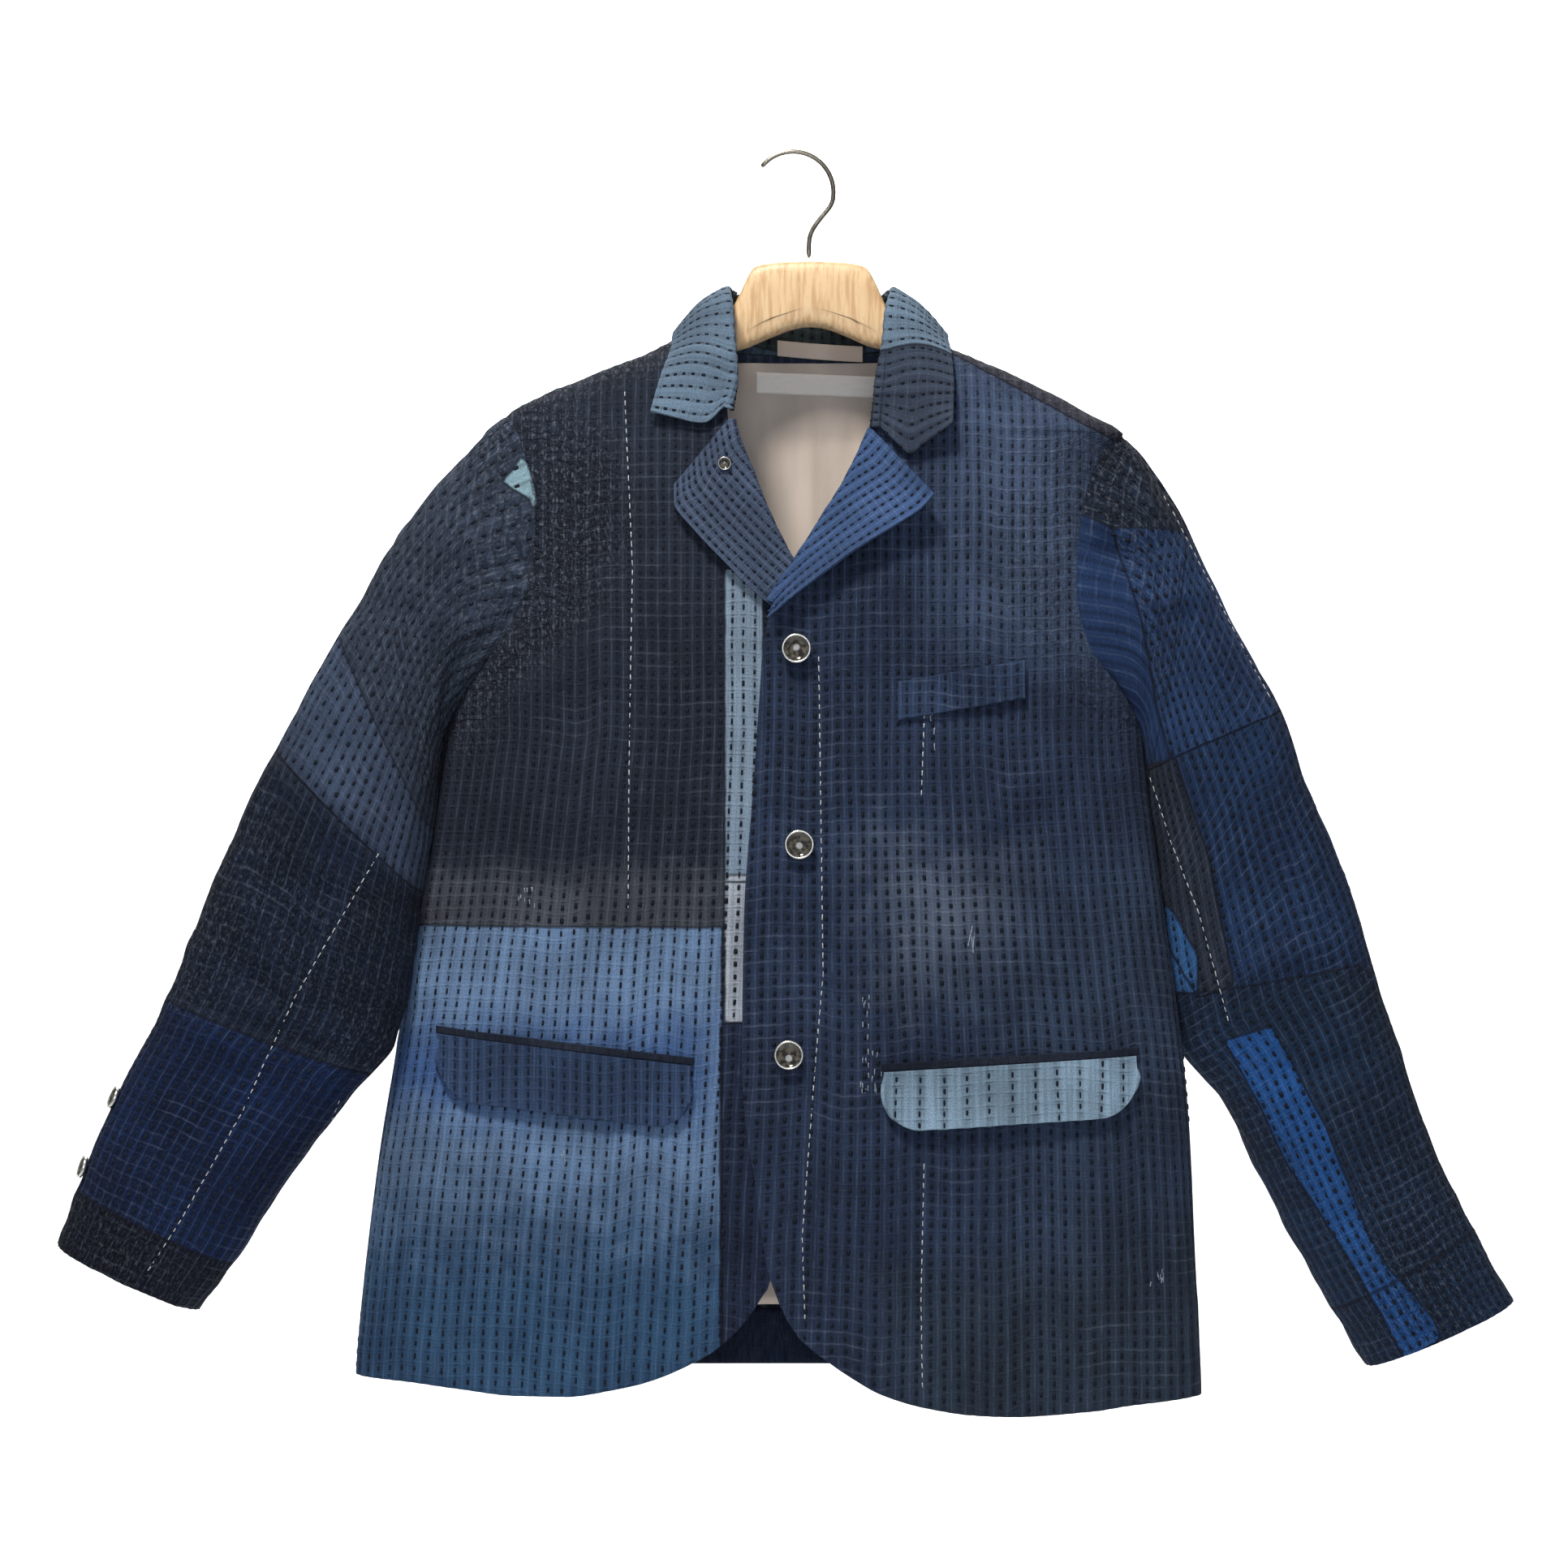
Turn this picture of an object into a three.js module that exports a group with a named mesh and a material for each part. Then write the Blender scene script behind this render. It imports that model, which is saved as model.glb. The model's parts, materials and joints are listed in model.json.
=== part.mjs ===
// A patched, running-stitch quilted cotton jacket on a wooden hanger.
// Millimetres. Origin under the crown of the hanger's hook, where it hangs on a rod. +X is to the right
// as the front is seen, +Y runs from the front of the jacket to its back, +Z is up.
// Every piece of cloth is a closed wall: a base surface worked out from short tables of sections, an inner
// face one thickness behind it, and quilt channels raised on the outer face alone.
import * as THREE from "three";

// Cloth and seams
const QUILTED_CLOTH = 2.4;
const FACED_CLOTH = 3.0;
const LINING_CLOTH = 1.0;
const LABEL_CLOTH = 0.6;
const HALF_SEAM = 0.2;
const ARMHOLE_SEAM = 0.8;
const UNDERARM_SEAM = 1.0;
const QUILT_HEIGHT = 0.7;
const QUILT_CLEARANCE = 0.7;

// Front fastening
const BUTTON_RADIUS = 10;
const BUTTON_THICKNESS = 4;
const BUTTON_SHANK = 1.6;
const BUTTON_STANDOFF = 1.2;
const LAPEL_BUTTON_RADIUS = 4.5;
const CUFF_BUTTON_RADIUS = 8;
const WRAP_LIFT = 4;
const LAPEL_CROSSING_LIFT = 5.5;
const LAPEL_CLEARANCE = 1;

// Hanger
const WIRE_RADIUS = 1.8;
const HOOK_RADIUS = 28;
const STEM_X = 11;
const WOOD_TOP_Z = -73;

// Body: silhouette and depth at each height. left and right are where the side (or shoulder) line runs.
const SECTION_POWER = 2.3;
const BODY = [
  { z: -118, left: -62, right: 86, front: 26, back: 28 },
  { z: -134, left: -91, right: 108, front: 36, back: 38 },
  { z: -154, left: -142, right: 153, front: 46, back: 46 },
  { z: -181, left: -197, right: 204, front: 53, back: 50 },
  { z: -195, left: -207, right: 227, front: 56, back: 52 },
  { z: -250, left: -222, right: 234, front: 61, back: 54 },
  { z: -320, left: -231, right: 238, front: 63, back: 55 },
  { z: -400, left: -240, right: 241, front: 63, back: 54 },
  { z: -480, left: -252, right: 250, front: 61, back: 52 },
  { z: -560, left: -265, right: 261, front: 58, back: 50 },
  { z: -620, left: -274, right: 269, front: 57, back: 49 },
  { z: -680, left: -284, right: 274, front: 56, back: 48 },
  { z: -750, left: -293, right: 277, front: 55, back: 47 },
  { z: -820, left: -300, right: 280, front: 54, back: 46 },
  { z: -870, left: -303, right: 281, front: 54, back: 46 },
];

// Rows of cloth that meet along the shoulder, armhole and side seams: the same heights on front and back.
const SHOULDER_ROWS = 6;
const ARMHOLE_ROWS = 7;
const SIDE_ROWS = 12;
const LEFT_SEAM = {
  shoulder: [-118, -127, -138, -150, -161, -171, -181],
  armhole: [
    { z: -181, x: -197 },
    { z: -196, x: -188 },
    { z: -222, x: -180 },
    { z: -258, x: -175 },
    { z: -300, x: -180 },
    { z: -340, x: -201 },
    { z: -374, x: -226 },
    { z: -400, x: -240 },
  ],
  hem: -840,
};
const RIGHT_SEAM = {
  shoulder: [-118, -130, -143, -156, -169, -182, -195],
  armhole: [
    { z: -195, x: 227 },
    { z: -208, x: 211 },
    { z: -232, x: 200 },
    { z: -266, x: 194 },
    { z: -304, x: 192 },
    { z: -341, x: 201 },
    { z: -374, x: 228 },
    { z: -400, x: 241 },
  ],
  hem: -854,
};

// Inner edge of each front: neckline, roll line of the lapel, front edge, start of the cutaway.
const RIGHT_FRONT_EDGE = [
  { z: -118, x: 81 },
  { z: -135, x: 70 },
  { z: -160, x: 61 },
  { z: -190, x: 55 },
  { z: -218, x: 44 },
  { z: -256, x: 24 },
  { z: -294, x: 1 },
  { z: -316, x: -14 },
  { z: -336, x: -19 },
  { z: -426, x: -26 },
  { z: -535, x: -33 },
  { z: -633, x: -34 },
  { z: -715, x: -24 },
  { z: -758, x: -18 },
  { z: -785, x: -9 },
];
const LEFT_FRONT_EDGE = [
  { z: -118, x: -58 },
  { z: -135, x: -50 },
  { z: -160, x: -46 },
  { z: -188, x: -44 },
  { z: -229, x: -30 },
  { z: -262, x: -16 },
  { z: -300, x: 5 },
  { z: -335, x: 26 },
  { z: -371, x: 30 },
  { z: -453, x: 27 },
  { z: -562, x: 23 },
  { z: -671, x: 12 },
  { z: -730, x: 0 },
  { z: -775, x: -18 },
];
const RIGHT_HEM = [
  { x: -9, z: -785 },
  { x: 4, z: -806 },
  { x: 20, z: -820 },
  { x: 40, z: -834 },
  { x: 61, z: -846 },
  { x: 89, z: -855 },
  { x: 121, z: -860 },
  { x: 154, z: -862 },
  { x: 203, z: -860 },
  { x: 230, z: -857 },
  { x: 281, z: -854 },
];
const LEFT_HEM = [
  { x: -302, z: -840 },
  { x: -266, z: -841 },
  { x: -228, z: -844 },
  { x: -184, z: -848 },
  { x: -151, z: -848 },
  { x: -119, z: -843 },
  { x: -97, z: -838 },
  { x: -59, z: -821 },
  { x: -42, z: -808 },
  { x: -29, z: -793 },
  { x: -18, z: -775 },
];
const BACK_NECK_DIP = 16;
const BACK_HEM_RISE = 9;

// Largest folds, as soft ridges (height above 0) and troughs (below 0) from one end to the other.
const FRONT_FOLDS = [
  { x0: -190, z0: -205, x1: -186, z1: -330, width: 9, height: -4 },
  { x0: -215, z0: -395, x1: -120, z1: -335, width: 15, height: 4 },
  { x0: 208, z0: -392, x1: 120, z1: -465, width: 16, height: 4 },
  { x0: -215, z0: -560, x1: -232, z1: -838, width: 22, height: 5 },
  { x0: -135, z0: -640, x1: -128, z1: -846, width: 20, height: 4 },
  { x0: 110, z0: -660, x1: 122, z1: -862, width: 22, height: 5 },
  { x0: 212, z0: -600, x1: 224, z1: -858, width: 20, height: 4 },
  { x0: -330, z0: -300, x1: -235, z1: -330, width: 12, height: -5 },
  { x0: -385, z0: -575, x1: -300, z1: -610, width: 8, height: 4 },
  { x0: -372, z0: -548, x1: -318, z1: -618, width: 7, height: -4 },
  { x0: -440, z0: -585, x1: -330, z1: -632, width: 8, height: 3 },
  { x0: 268, z0: -262, x1: 214, z1: -300, width: 9, height: -5 },
  { x0: 300, z0: -300, x1: 232, z1: -315, width: 9, height: 4 },
  { x0: 386, z0: -540, x1: 300, z1: -565, width: 10, height: 4 },
  { x0: 400, z0: -620, x1: 330, z1: -640, width: 9, height: -3 },
];
const BACK_FOLDS = [
  { x0: -182, z0: -220, x1: -180, z1: -345, width: 9, height: -4 },
  { x0: 202, z0: -225, x1: 200, z1: -345, width: 9, height: -4 },
  { x0: -150, z0: -300, x1: -185, z1: -520, width: 18, height: 5 },
  { x0: 150, z0: -310, x1: 178, z1: -500, width: 18, height: 5 },
  { x0: -90, z0: -560, x1: -104, z1: -838, width: 22, height: 5 },
  { x0: 70, z0: -600, x1: 84, z1: -840, width: 24, height: 4 },
  { x0: 200, z0: -560, x1: 214, z1: -850, width: 20, height: 5 },
  { x0: -230, z0: -600, x1: -245, z1: -836, width: 20, height: 4 },
  { x0: -330, z0: -330, x1: -240, z1: -350, width: 12, height: -4 },
  { x0: -390, z0: -560, x1: -295, z1: -600, width: 10, height: 4 },
  { x0: 330, z0: -350, x1: 245, z1: -360, width: 12, height: -4 },
  { x0: 392, z0: -575, x1: 290, z1: -600, width: 10, height: 4 },
];

// Sleeves: each row is a ring across the sleeve, from its outer to its inner edge as seen from the front.
const SLEEVE_SEGMENTS = 4 * ARMHOLE_ROWS;
const SLEEVE_POWER = 2.2;
const LEFT_SLEEVE = [
  { outX: -197, outZ: -181, inX: -240, inZ: -400, y: 0, front: 38, back: 34 },
  { outX: -219, outZ: -202, inX: -246, inZ: -409, y: -3, front: 40, back: 36 },
  { outX: -244, outZ: -231, inX: -248, inZ: -419, y: -7, front: 41, back: 37 },
  { outX: -272, outZ: -268, inX: -250.5, inZ: -435, y: -11, front: 41, back: 38 },
  { outX: -299, outZ: -314, inX: -253, inZ: -456, y: -16, front: 41, back: 38 },
  { outX: -325, outZ: -359, inX: -255.5, inZ: -479, y: -20, front: 41, back: 38 },
  { outX: -350, outZ: -406, inX: -258, inZ: -505, y: -24, front: 40, back: 38 },
  { outX: -375, outZ: -456, inX: -261, inZ: -538, y: -26, front: 40, back: 37 },
  { outX: -397, outZ: -509, inX: -265, inZ: -576, y: -27, front: 39, back: 36 },
  { outX: -415, outZ: -555, inX: -271, inZ: -612, y: -27, front: 38, back: 35 },
  { outX: -433, outZ: -596, inX: -299, inZ: -646, y: -26, front: 37, back: 34 },
  { outX: -453, outZ: -633, inX: -328, inZ: -683, y: -24, front: 36, back: 33 },
  { outX: -472, outZ: -671, inX: -356, inZ: -721, y: -21, front: 34, back: 31 },
  { outX: -487, outZ: -707, inX: -379, inZ: -758, y: -18, front: 32, back: 30 },
  { outX: -503, outZ: -750, inX: -407, inZ: -794, y: -15, front: 30, back: 28 },
];
const RIGHT_SLEEVE = [
  { outX: 227, outZ: -195, inX: 241, inZ: -400, y: 0, front: 38, back: 34 },
  { outX: 243, outZ: -211, inX: 246, inZ: -409, y: 3, front: 39, back: 37 },
  { outX: 258, outZ: -233, inX: 248, inZ: -421, y: 7, front: 39, back: 39 },
  { outX: 274, outZ: -260, inX: 250.5, inZ: -442, y: 11, front: 40, back: 40 },
  { outX: 296, outZ: -304, inX: 252.5, inZ: -465, y: 16, front: 40, back: 40 },
  { outX: 319, outZ: -346, inX: 254.5, inZ: -488, y: 20, front: 40, back: 40 },
  { outX: 342, outZ: -386, inX: 256.5, inZ: -513, y: 24, front: 39, back: 40 },
  { outX: 359, outZ: -436, inX: 260, inZ: -544, y: 26, front: 38, back: 39 },
  { outX: 378, outZ: -478, inX: 261.5, inZ: -578, y: 27, front: 38, back: 38 },
  { outX: 396, outZ: -530, inX: 266.5, inZ: -614, y: 27, front: 37, back: 37 },
  { outX: 409, outZ: -577, inX: 297, inZ: -652, y: 26, front: 36, back: 36 },
  { outX: 424, outZ: -624, inX: 318, inZ: -693, y: 24, front: 34, back: 34 },
  { outX: 442, outZ: -681, inX: 340, inZ: -738, y: 22, front: 33, back: 32 },
  { outX: 465, outZ: -732, inX: 367, inZ: -789, y: 19, front: 31, back: 30 },
  { outX: 499, outZ: -793, inX: 398, inZ: -838, y: 16, front: 29, back: 28 },
];
const ARMHOLE_MEMORY = [1, 0.2, 0.05];

// Collar, from its end on the left front round the back of the neck to its end on the right front:
// the neck seam (a), the fold (f) and the free edge (e).
const COLLAR = [
  { ax: -41, ay: -49, az: -183, fx: -41, fy: -61, fz: -183, ex: -96, ey: -58, ez: -184 },
  { ax: -42, ay: -42, az: -163, fx: -37, fy: -55, fz: -163, ex: -89, ey: -49, ez: -158 },
  { ax: -46, ay: -31, az: -139, fx: -38, fy: -42, fz: -139, ex: -83, ey: -31, ez: -138 },
  { ax: -51, ay: -19, az: -125, fx: -40, fy: -25, fz: -108, ex: -83, ey: -15, ez: -128 },
  { ax: -57, ay: 0, az: -117, fx: -41, fy: 0, fz: -93, ex: -82, ey: 2, ez: -122 },
  { ax: -45, ay: 21, az: -123, fx: -34, fy: 22, fz: -94, ex: -77, ey: 28, ez: -130 },
  { ax: -20, ay: 31.5, az: -130, fx: -14, fy: 32, fz: -96, ex: -44, ey: 45, ez: -142 },
  { ax: 12, ay: 35.2, az: -133, fx: 12, fy: 36, fz: -97, ex: 12, ey: 51, ez: -147 },
  { ax: 44, ay: 31.5, az: -130, fx: 38, fy: 32, fz: -96, ex: 68, ey: 45, ez: -142 },
  { ax: 69, ay: 21, az: -123, fx: 58, fy: 22, fz: -95, ex: 101, ey: 28, ez: -131 },
  { ax: 81, ay: 0, az: -117, fx: 64.5, fy: 0, fz: -94, ex: 106, ey: 2, ez: -125 },
  { ax: 72, ay: -19, az: -125, fx: 62, fy: -25, fz: -109, ex: 106, ey: -16, ez: -131 },
  { ax: 65, ay: -31, az: -139, fx: 59, fy: -42, fz: -139, ex: 107, ey: -35, ez: -142 },
  { ax: 57, ay: -42, az: -163, fx: 55, fy: -56, fz: -166, ex: 108, ey: -53, ez: -165 },
  { ax: 51.5, ay: -50, az: -189, fx: 53, fy: -62, fz: -189, ex: 107, ey: -66, ez: -193 },
];
const COLLAR_STEPS = 2;
const COLLAR_FOLD_RADIUS = 3.4;
const COLLAR_CROWN = 5;
const LEFT_GORGE = { at: 0.25, drop: 11 };
const RIGHT_GORGE = { at: 0.38, drop: 19 };

// Lapels: the outer edge, and the height on the front's inner edge where each row of the lapel starts.
const LEFT_LAPEL = [
  { rollZ: -190, x: -80, z: -234, lift: 3 },
  { rollZ: -204, x: -80, z: -246, lift: 3 },
  { rollZ: -226, x: -66, z: -265, lift: 3 },
  { rollZ: -250, x: -48, z: -284, lift: 2.5 },
  { rollZ: -275, x: -30, z: -302, lift: 1.5 },
  { rollZ: -293, x: -19, z: -312, lift: 0.5 },
  { rollZ: -306, x: -11, z: -318, lift: 0 },
];
const RIGHT_LAPEL = [
  { rollZ: -196, x: 94, z: -241, lift: 13 },
  { rollZ: -209, x: 86, z: -250, lift: 13 },
  { rollZ: -232, x: 60, z: -267, lift: 11 },
  { rollZ: -254, x: 37, z: -282, lift: 9 },
  { rollZ: -276, x: 17, z: -297, lift: 6 },
  { rollZ: -297, x: -3, z: -312, lift: 3 },
  { rollZ: -314, x: -17, z: -324, lift: 1 },
];
const LAPEL_STEPS = 2;

// Pocket pieces, placed by their upper corners on the fronts.
const LEFT_FLAP = { x0: -241, z0: -604, x1: -69, z1: -624, height: 43, lift: 2.5 };
const RIGHT_FLAP = { x0: 61, z0: -628, x1: 233, z1: -619, height: 40, lift: 3.5 };
const FLAP_CORNER = 26;
const JET_HEIGHT = 5;
const JET_GAP = 0.4;
const JET_OVERHANG = 2;
const BREAST_WELT = { x0: 70, z0: -366, x1: 156, z1: -351, height: 26 };

const FRONT_BUTTONS = [
  { name: "button_top", x: 2, z: -344 },
  { name: "button_middle", x: 4, z: -475 },
  { name: "button_bottom", x: -3, z: -616 },
];

const INDIGO = 0x2a3a5a;
const BLACK_INDIGO = 0x2b2f3c;
const PALE_INDIGO = 0x6f8ba6;
const BRIGHT_INDIGO = 0x3a5c96;
const TAUPE = 0x8e857d;
const BEECH = 0xdcb98a;
const STEEL = 0xc9cac8;
const SMOKE = 0x8a8880;
const LABEL_WHITE = 0xf2eee4;

const lerp = (a, b, t) => a + (b - a) * t;
const clamp01 = (t) => Math.min(1, Math.max(0, t));
const smooth = (from, to, value) => {
  const t = clamp01((value - from) / (to - from));
  return t * t * (3 - 2 * t);
};
const range = (count) => Array.from({ length: count }, (_, i) => i);

// A column of a table as a smooth curve of another column. The rows may run up or down.
function read(rows, key, column, value) {
  const up = rows[rows.length - 1][key] > rows[0][key];
  const inside = (r) => (up ? r[key] >= value : r[key] <= value);
  const end = rows.findIndex(inside);
  if (end === 0) return rows[0][column];
  if (end < 0) return rows[rows.length - 1][column];
  const [r0, r1] = [rows[end - 1], rows[end]];
  const span = r1[key] - r0[key];
  const slope = (a, b) => (b[column] - a[column]) / (b[key] - a[key]);
  const middle = slope(r0, r1);
  const before = rows[end - 2];
  const after = rows[end + 1];
  const s0 = before ? harmonic(slope(before, r0), middle) : middle;
  const s1 = after ? harmonic(middle, slope(r1, after)) : middle;
  const t = (value - r0[key]) / span;
  const t2 = t * t;
  const t3 = t2 * t;
  return (
    (2 * t3 - 3 * t2 + 1) * r0[column] +
    (t3 - 2 * t2 + t) * span * s0 +
    (3 * t2 - 2 * t3) * r1[column] +
    (t3 - t2) * span * s1
  );
}

// Mean slope that keeps a curve from overshooting its rows.
function harmonic(a, b) {
  return a * b <= 0 ? 0 : (2 * a * b) / (a + b);
}

const section = (z) => {
  const [left, right, front, back] = ["left", "right", "front", "back"].map((c) => read(BODY, "z", c, z));
  return { middle: (left + right) / 2, half: (right - left) / 2, front, back };
};

// Ridge or trough height at a place seen from the front.
function foldHeight(folds, x, z) {
  return folds.reduce((sum, f) => {
    const [dx, dz] = [f.x1 - f.x0, f.z1 - f.z0];
    const t = ((x - f.x0) * dx + (z - f.z0) * dz) / (dx * dx + dz * dz);
    const near = clamp01(t);
    const away = Math.hypot(x - f.x0 - near * dx, z - f.z0 - near * dz) / f.width;
    const taper = 0.35 + 0.65 * Math.sin(Math.PI * near);
    return sum + f.height * taper * Math.exp(-away * away);
  }, 0);
}

// Angle round the section, 0 on the right side seam and PI on the left one, at a given x and height.
function angleAt(x, z) {
  const s = section(z);
  const c = Math.min(1, Math.max(-1, (x - s.middle) / s.half));
  return Math.acos(Math.sign(c) * Math.abs(c) ** (SECTION_POWER / 2));
}

// A point of the cloth's outer face. side is -1 on the fronts and 1 on the back.
function bodyPoint(angle, z, side, lift = () => 0, creased = 1) {
  const s = section(z);
  const c = Math.cos(angle);
  const round = Math.abs(Math.sin(angle)) ** (2 / SECTION_POWER);
  const x = s.middle + s.half * Math.sign(c) * Math.abs(c) ** (2 / SECTION_POWER);
  const depth = (side < 0 ? s.front : s.back) * round;
  const fold = creased * foldHeight(side < 0 ? FRONT_FOLDS : BACK_FOLDS, x, z) * clamp01(round * 1.6 - 0.3);
  return new THREE.Vector3(x, side * (depth + fold + lift(x, z) + HALF_SEAM), z);
}

// Outward direction of the cloth at a point of it. On the side and shoulder seams it lies in the XZ plane.
function bodyNormal(angle, z, side) {
  const step = 0.02;
  const outwards = new THREE.Vector3(Math.cos(angle), side * Math.sin(angle), 0);
  const down = bodyPoint(angle, z - 1, side).sub(bodyPoint(angle, z + 1, side));
  const onSeam = Math.min(angle, Math.PI - angle) < 0.01;
  const around = onSeam
    ? new THREE.Vector3(0, 1, 0)
    : bodyPoint(angle + step, z, side).sub(bodyPoint(angle - step, z, side));
  const normal = around.cross(down).normalize();
  return normal.dot(outwards) < 0 ? normal.negate() : normal;
}

// The right front wraps over the left one, and stands off further where it covers the foot of the left lapel.
function wrapLift(x, z) {
  const crossing = LAPEL_CROSSING_LIFT * Math.exp(-(((z + 304) / 34) ** 2));
  return smooth(95, 35, x) * (WRAP_LIFT * smooth(-215, -300, z) + crossing);
}

function frontPoint(x, z, out = 0, lift = () => 0) {
  const p = bodyPoint(angleAt(x, z), z, -1, lift);
  p.y -= out;
  return p;
}

// Heights of a seam's rows, from the neck down to the hem, with the armhole's x where the panel ends there.
function seamRows(seam) {
  const pit = seam.armhole[ARMHOLE_ROWS].z;
  return [
    ...seam.shoulder.slice(0, SHOULDER_ROWS).map((z) => ({ z })),
    ...seam.armhole,
    ...range(SIDE_ROWS).map((i) => ({ z: lerp(pit, seam.hem, (i + 1) / SIDE_ROWS) })),
  ];
}

const seamAngle = (row, sideAngle) =>
  row.x === undefined ? sideAngle : angleAt(row.x, row.z);

// Directions square to a surface given as rows of points, on the side that hint points to.
function surfaceNormals(rows, hint, closed = false) {
  const count = rows[0].length;
  const last = rows.length - 1;
  const wrap = (j) => (closed ? (j + count) % count : Math.min(count - 1, Math.max(0, j)));
  const normals = rows.map((row, i) =>
    row.map((p, j) => {
      const along = new THREE.Vector3().subVectors(row[wrap(j + 1)], row[wrap(j - 1)]);
      const [above, below] = [rows[Math.max(0, i - 1)][j], rows[Math.min(last, i + 1)][j]];
      return along.cross(below.clone().sub(above)).normalize();
    }),
  );
  const [mi, mj] = [last >> 1, count >> 1];
  const facing = normals[mi][mj].dot(hint(rows[mi][mj])) < 0 ? -1 : 1;
  return normals.map((row) => row.map((n) => n.multiplyScalar(facing)));
}

// Builds one closed wall from a base surface given as rows of points.
function wall(rows, { thickness, hint, stride = 1, relief = () => 0, turn = (i, j, n) => n }) {
  const count = rows[0].length;
  const last = rows.length - 1;
  const normals = surfaceNormals(rows, hint).map((row, i) => row.map((n, j) => turn(i, j, n)));
  const shifted = (i, j, d) => rows[i][j].clone().addScaledVector(normals[i][j], d);
  const positions = [];
  const put = (p) => positions.push(p.x, p.y, p.z) / 3 - 1;
  const outer = rows.map((row, i) => row.map((p, j) => put(shifted(i, j, relief(i, j)))));
  const inner = rows.map((row, i) =>
    row.flatMap((p, j) => (j % stride ? [] : [put(shifted(i, j, -thickness))])),
  );
  const faces = [];
  const quad = (a, b, c, d) => faces.push(a, b, c, a, c, d);
  const skin = (grid, flip) => {
    range(grid.length - 1).forEach((i) =>
      range(grid[0].length - 1).forEach((j) => {
        if (flip) quad(grid[i][j], grid[i + 1][j], grid[i + 1][j + 1], grid[i][j + 1]);
        else quad(grid[i][j], grid[i][j + 1], grid[i + 1][j + 1], grid[i + 1][j]);
      }),
    );
  };
  skin(outer, false);
  skin(inner, true);
  // Rims between the two faces, first along the first and last rows, then down the two ends.
  const rim = (fine, coarse, flip) => {
    const face = (a, b, c) => (flip ? faces.push(a, c, b) : faces.push(a, b, c));
    range(coarse.length - 1).forEach((k) => {
      range(stride).forEach((s) => face(fine[k * stride + s], coarse[k], fine[k * stride + s + 1]));
      face(fine[(k + 1) * stride], coarse[k], coarse[k + 1]);
    });
  };
  rim(outer[0], inner[0], false);
  rim(outer[last], inner[last], true);
  const end = inner[0].length - 1;
  range(last).forEach((i) => {
    quad(outer[i][0], outer[i + 1][0], inner[i + 1][0], inner[i][0]);
    quad(outer[i][count - 1], inner[i][end], inner[i + 1][end], outer[i + 1][count - 1]);
  });
  return solid(positions, faces);
}

// A closed surface as a geometry whose faces point out.
function solid(positions, faces) {
  const at = (i) => new THREE.Vector3(...positions.slice(3 * i, 3 * i + 3));
  let volume = 0;
  for (let i = 0; i < faces.length; i += 3) {
    const [a, b, c] = faces.slice(i, i + 3).map(at);
    volume += a.dot(b.cross(c));
  }
  const index = volume < 0 ? [...faces].reverse() : faces;
  const geometry = new THREE.BufferGeometry();
  geometry.setAttribute("position", new THREE.Float32BufferAttribute(positions, 3));
  geometry.setIndex(index);
  geometry.computeVertexNormals();
  return geometry;
}

const outFromAxis = (p) => new THREE.Vector3(p.x - 5, p.y, 0);
const towardsFront = () => new THREE.Vector3(0, -1, 0);
const towardsBack = () => new THREE.Vector3(0, 1, 0);
const quilt = (lastRow) => (i, j) => (j % 2 && i > 0 && i < lastRow ? QUILT_HEIGHT : 0);

// Heights of a front's rows on its inner edge for those on its outer edge, closer together under the lapels.
const ROW_SLANT = [
  { outer: -118, inner: -118 },
  { outer: -190, inner: -190 },
  { outer: -266, inner: -257 },
  { outer: -304, inner: -280 },
  { outer: -341, inner: -302 },
  { outer: -374, inner: -324 },
  { outer: -400, inner: -348 },
];

// Front panel: rows run from the inner edge to the shoulder, armhole and side seams.
function frontPanel({ seam, sideAngle, edge, hem, columns, lift }) {
  const outerRows = seamRows(seam);
  const lowest = edge[edge.length - 1].z;
  const match = [...ROW_SLANT, { outer: seam.hem, inner: lowest }];
  const rows = outerRows.map((outer) => {
    const innerZ = read(match, "outer", "inner", outer.z);
    const innerAngle = angleAt(read(edge, "z", "x", innerZ), innerZ);
    const outerAngle = seamAngle(outer, sideAngle);
    const nearHem = smooth(seam.hem + 150, seam.hem, outer.z);
    return range(columns + 1).map((j) => {
      const u = j / columns;
      const angle = lerp(innerAngle, outerAngle, u);
      const straight = lerp(innerZ, outer.z, u);
      const bottom = lerp(lowest, seam.hem, u);
      const x = bodyPoint(angle, bottom, -1).x;
      const z = straight + nearHem * (read(hem, "x", "z", x) - bottom);
      return bodyPoint(angle, z, -1, lift);
    });
  });
  return wall(rows, {
    thickness: QUILTED_CLOTH,
    hint: outFromAxis,
    stride: 2,
    relief: quilt(rows.length - 1),
    turn: (i, j, n) =>
      j === columns ? bodyNormal(seamAngle(outerRows[i], sideAngle), outerRows[i].z, -1) : n,
  });
}

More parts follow.
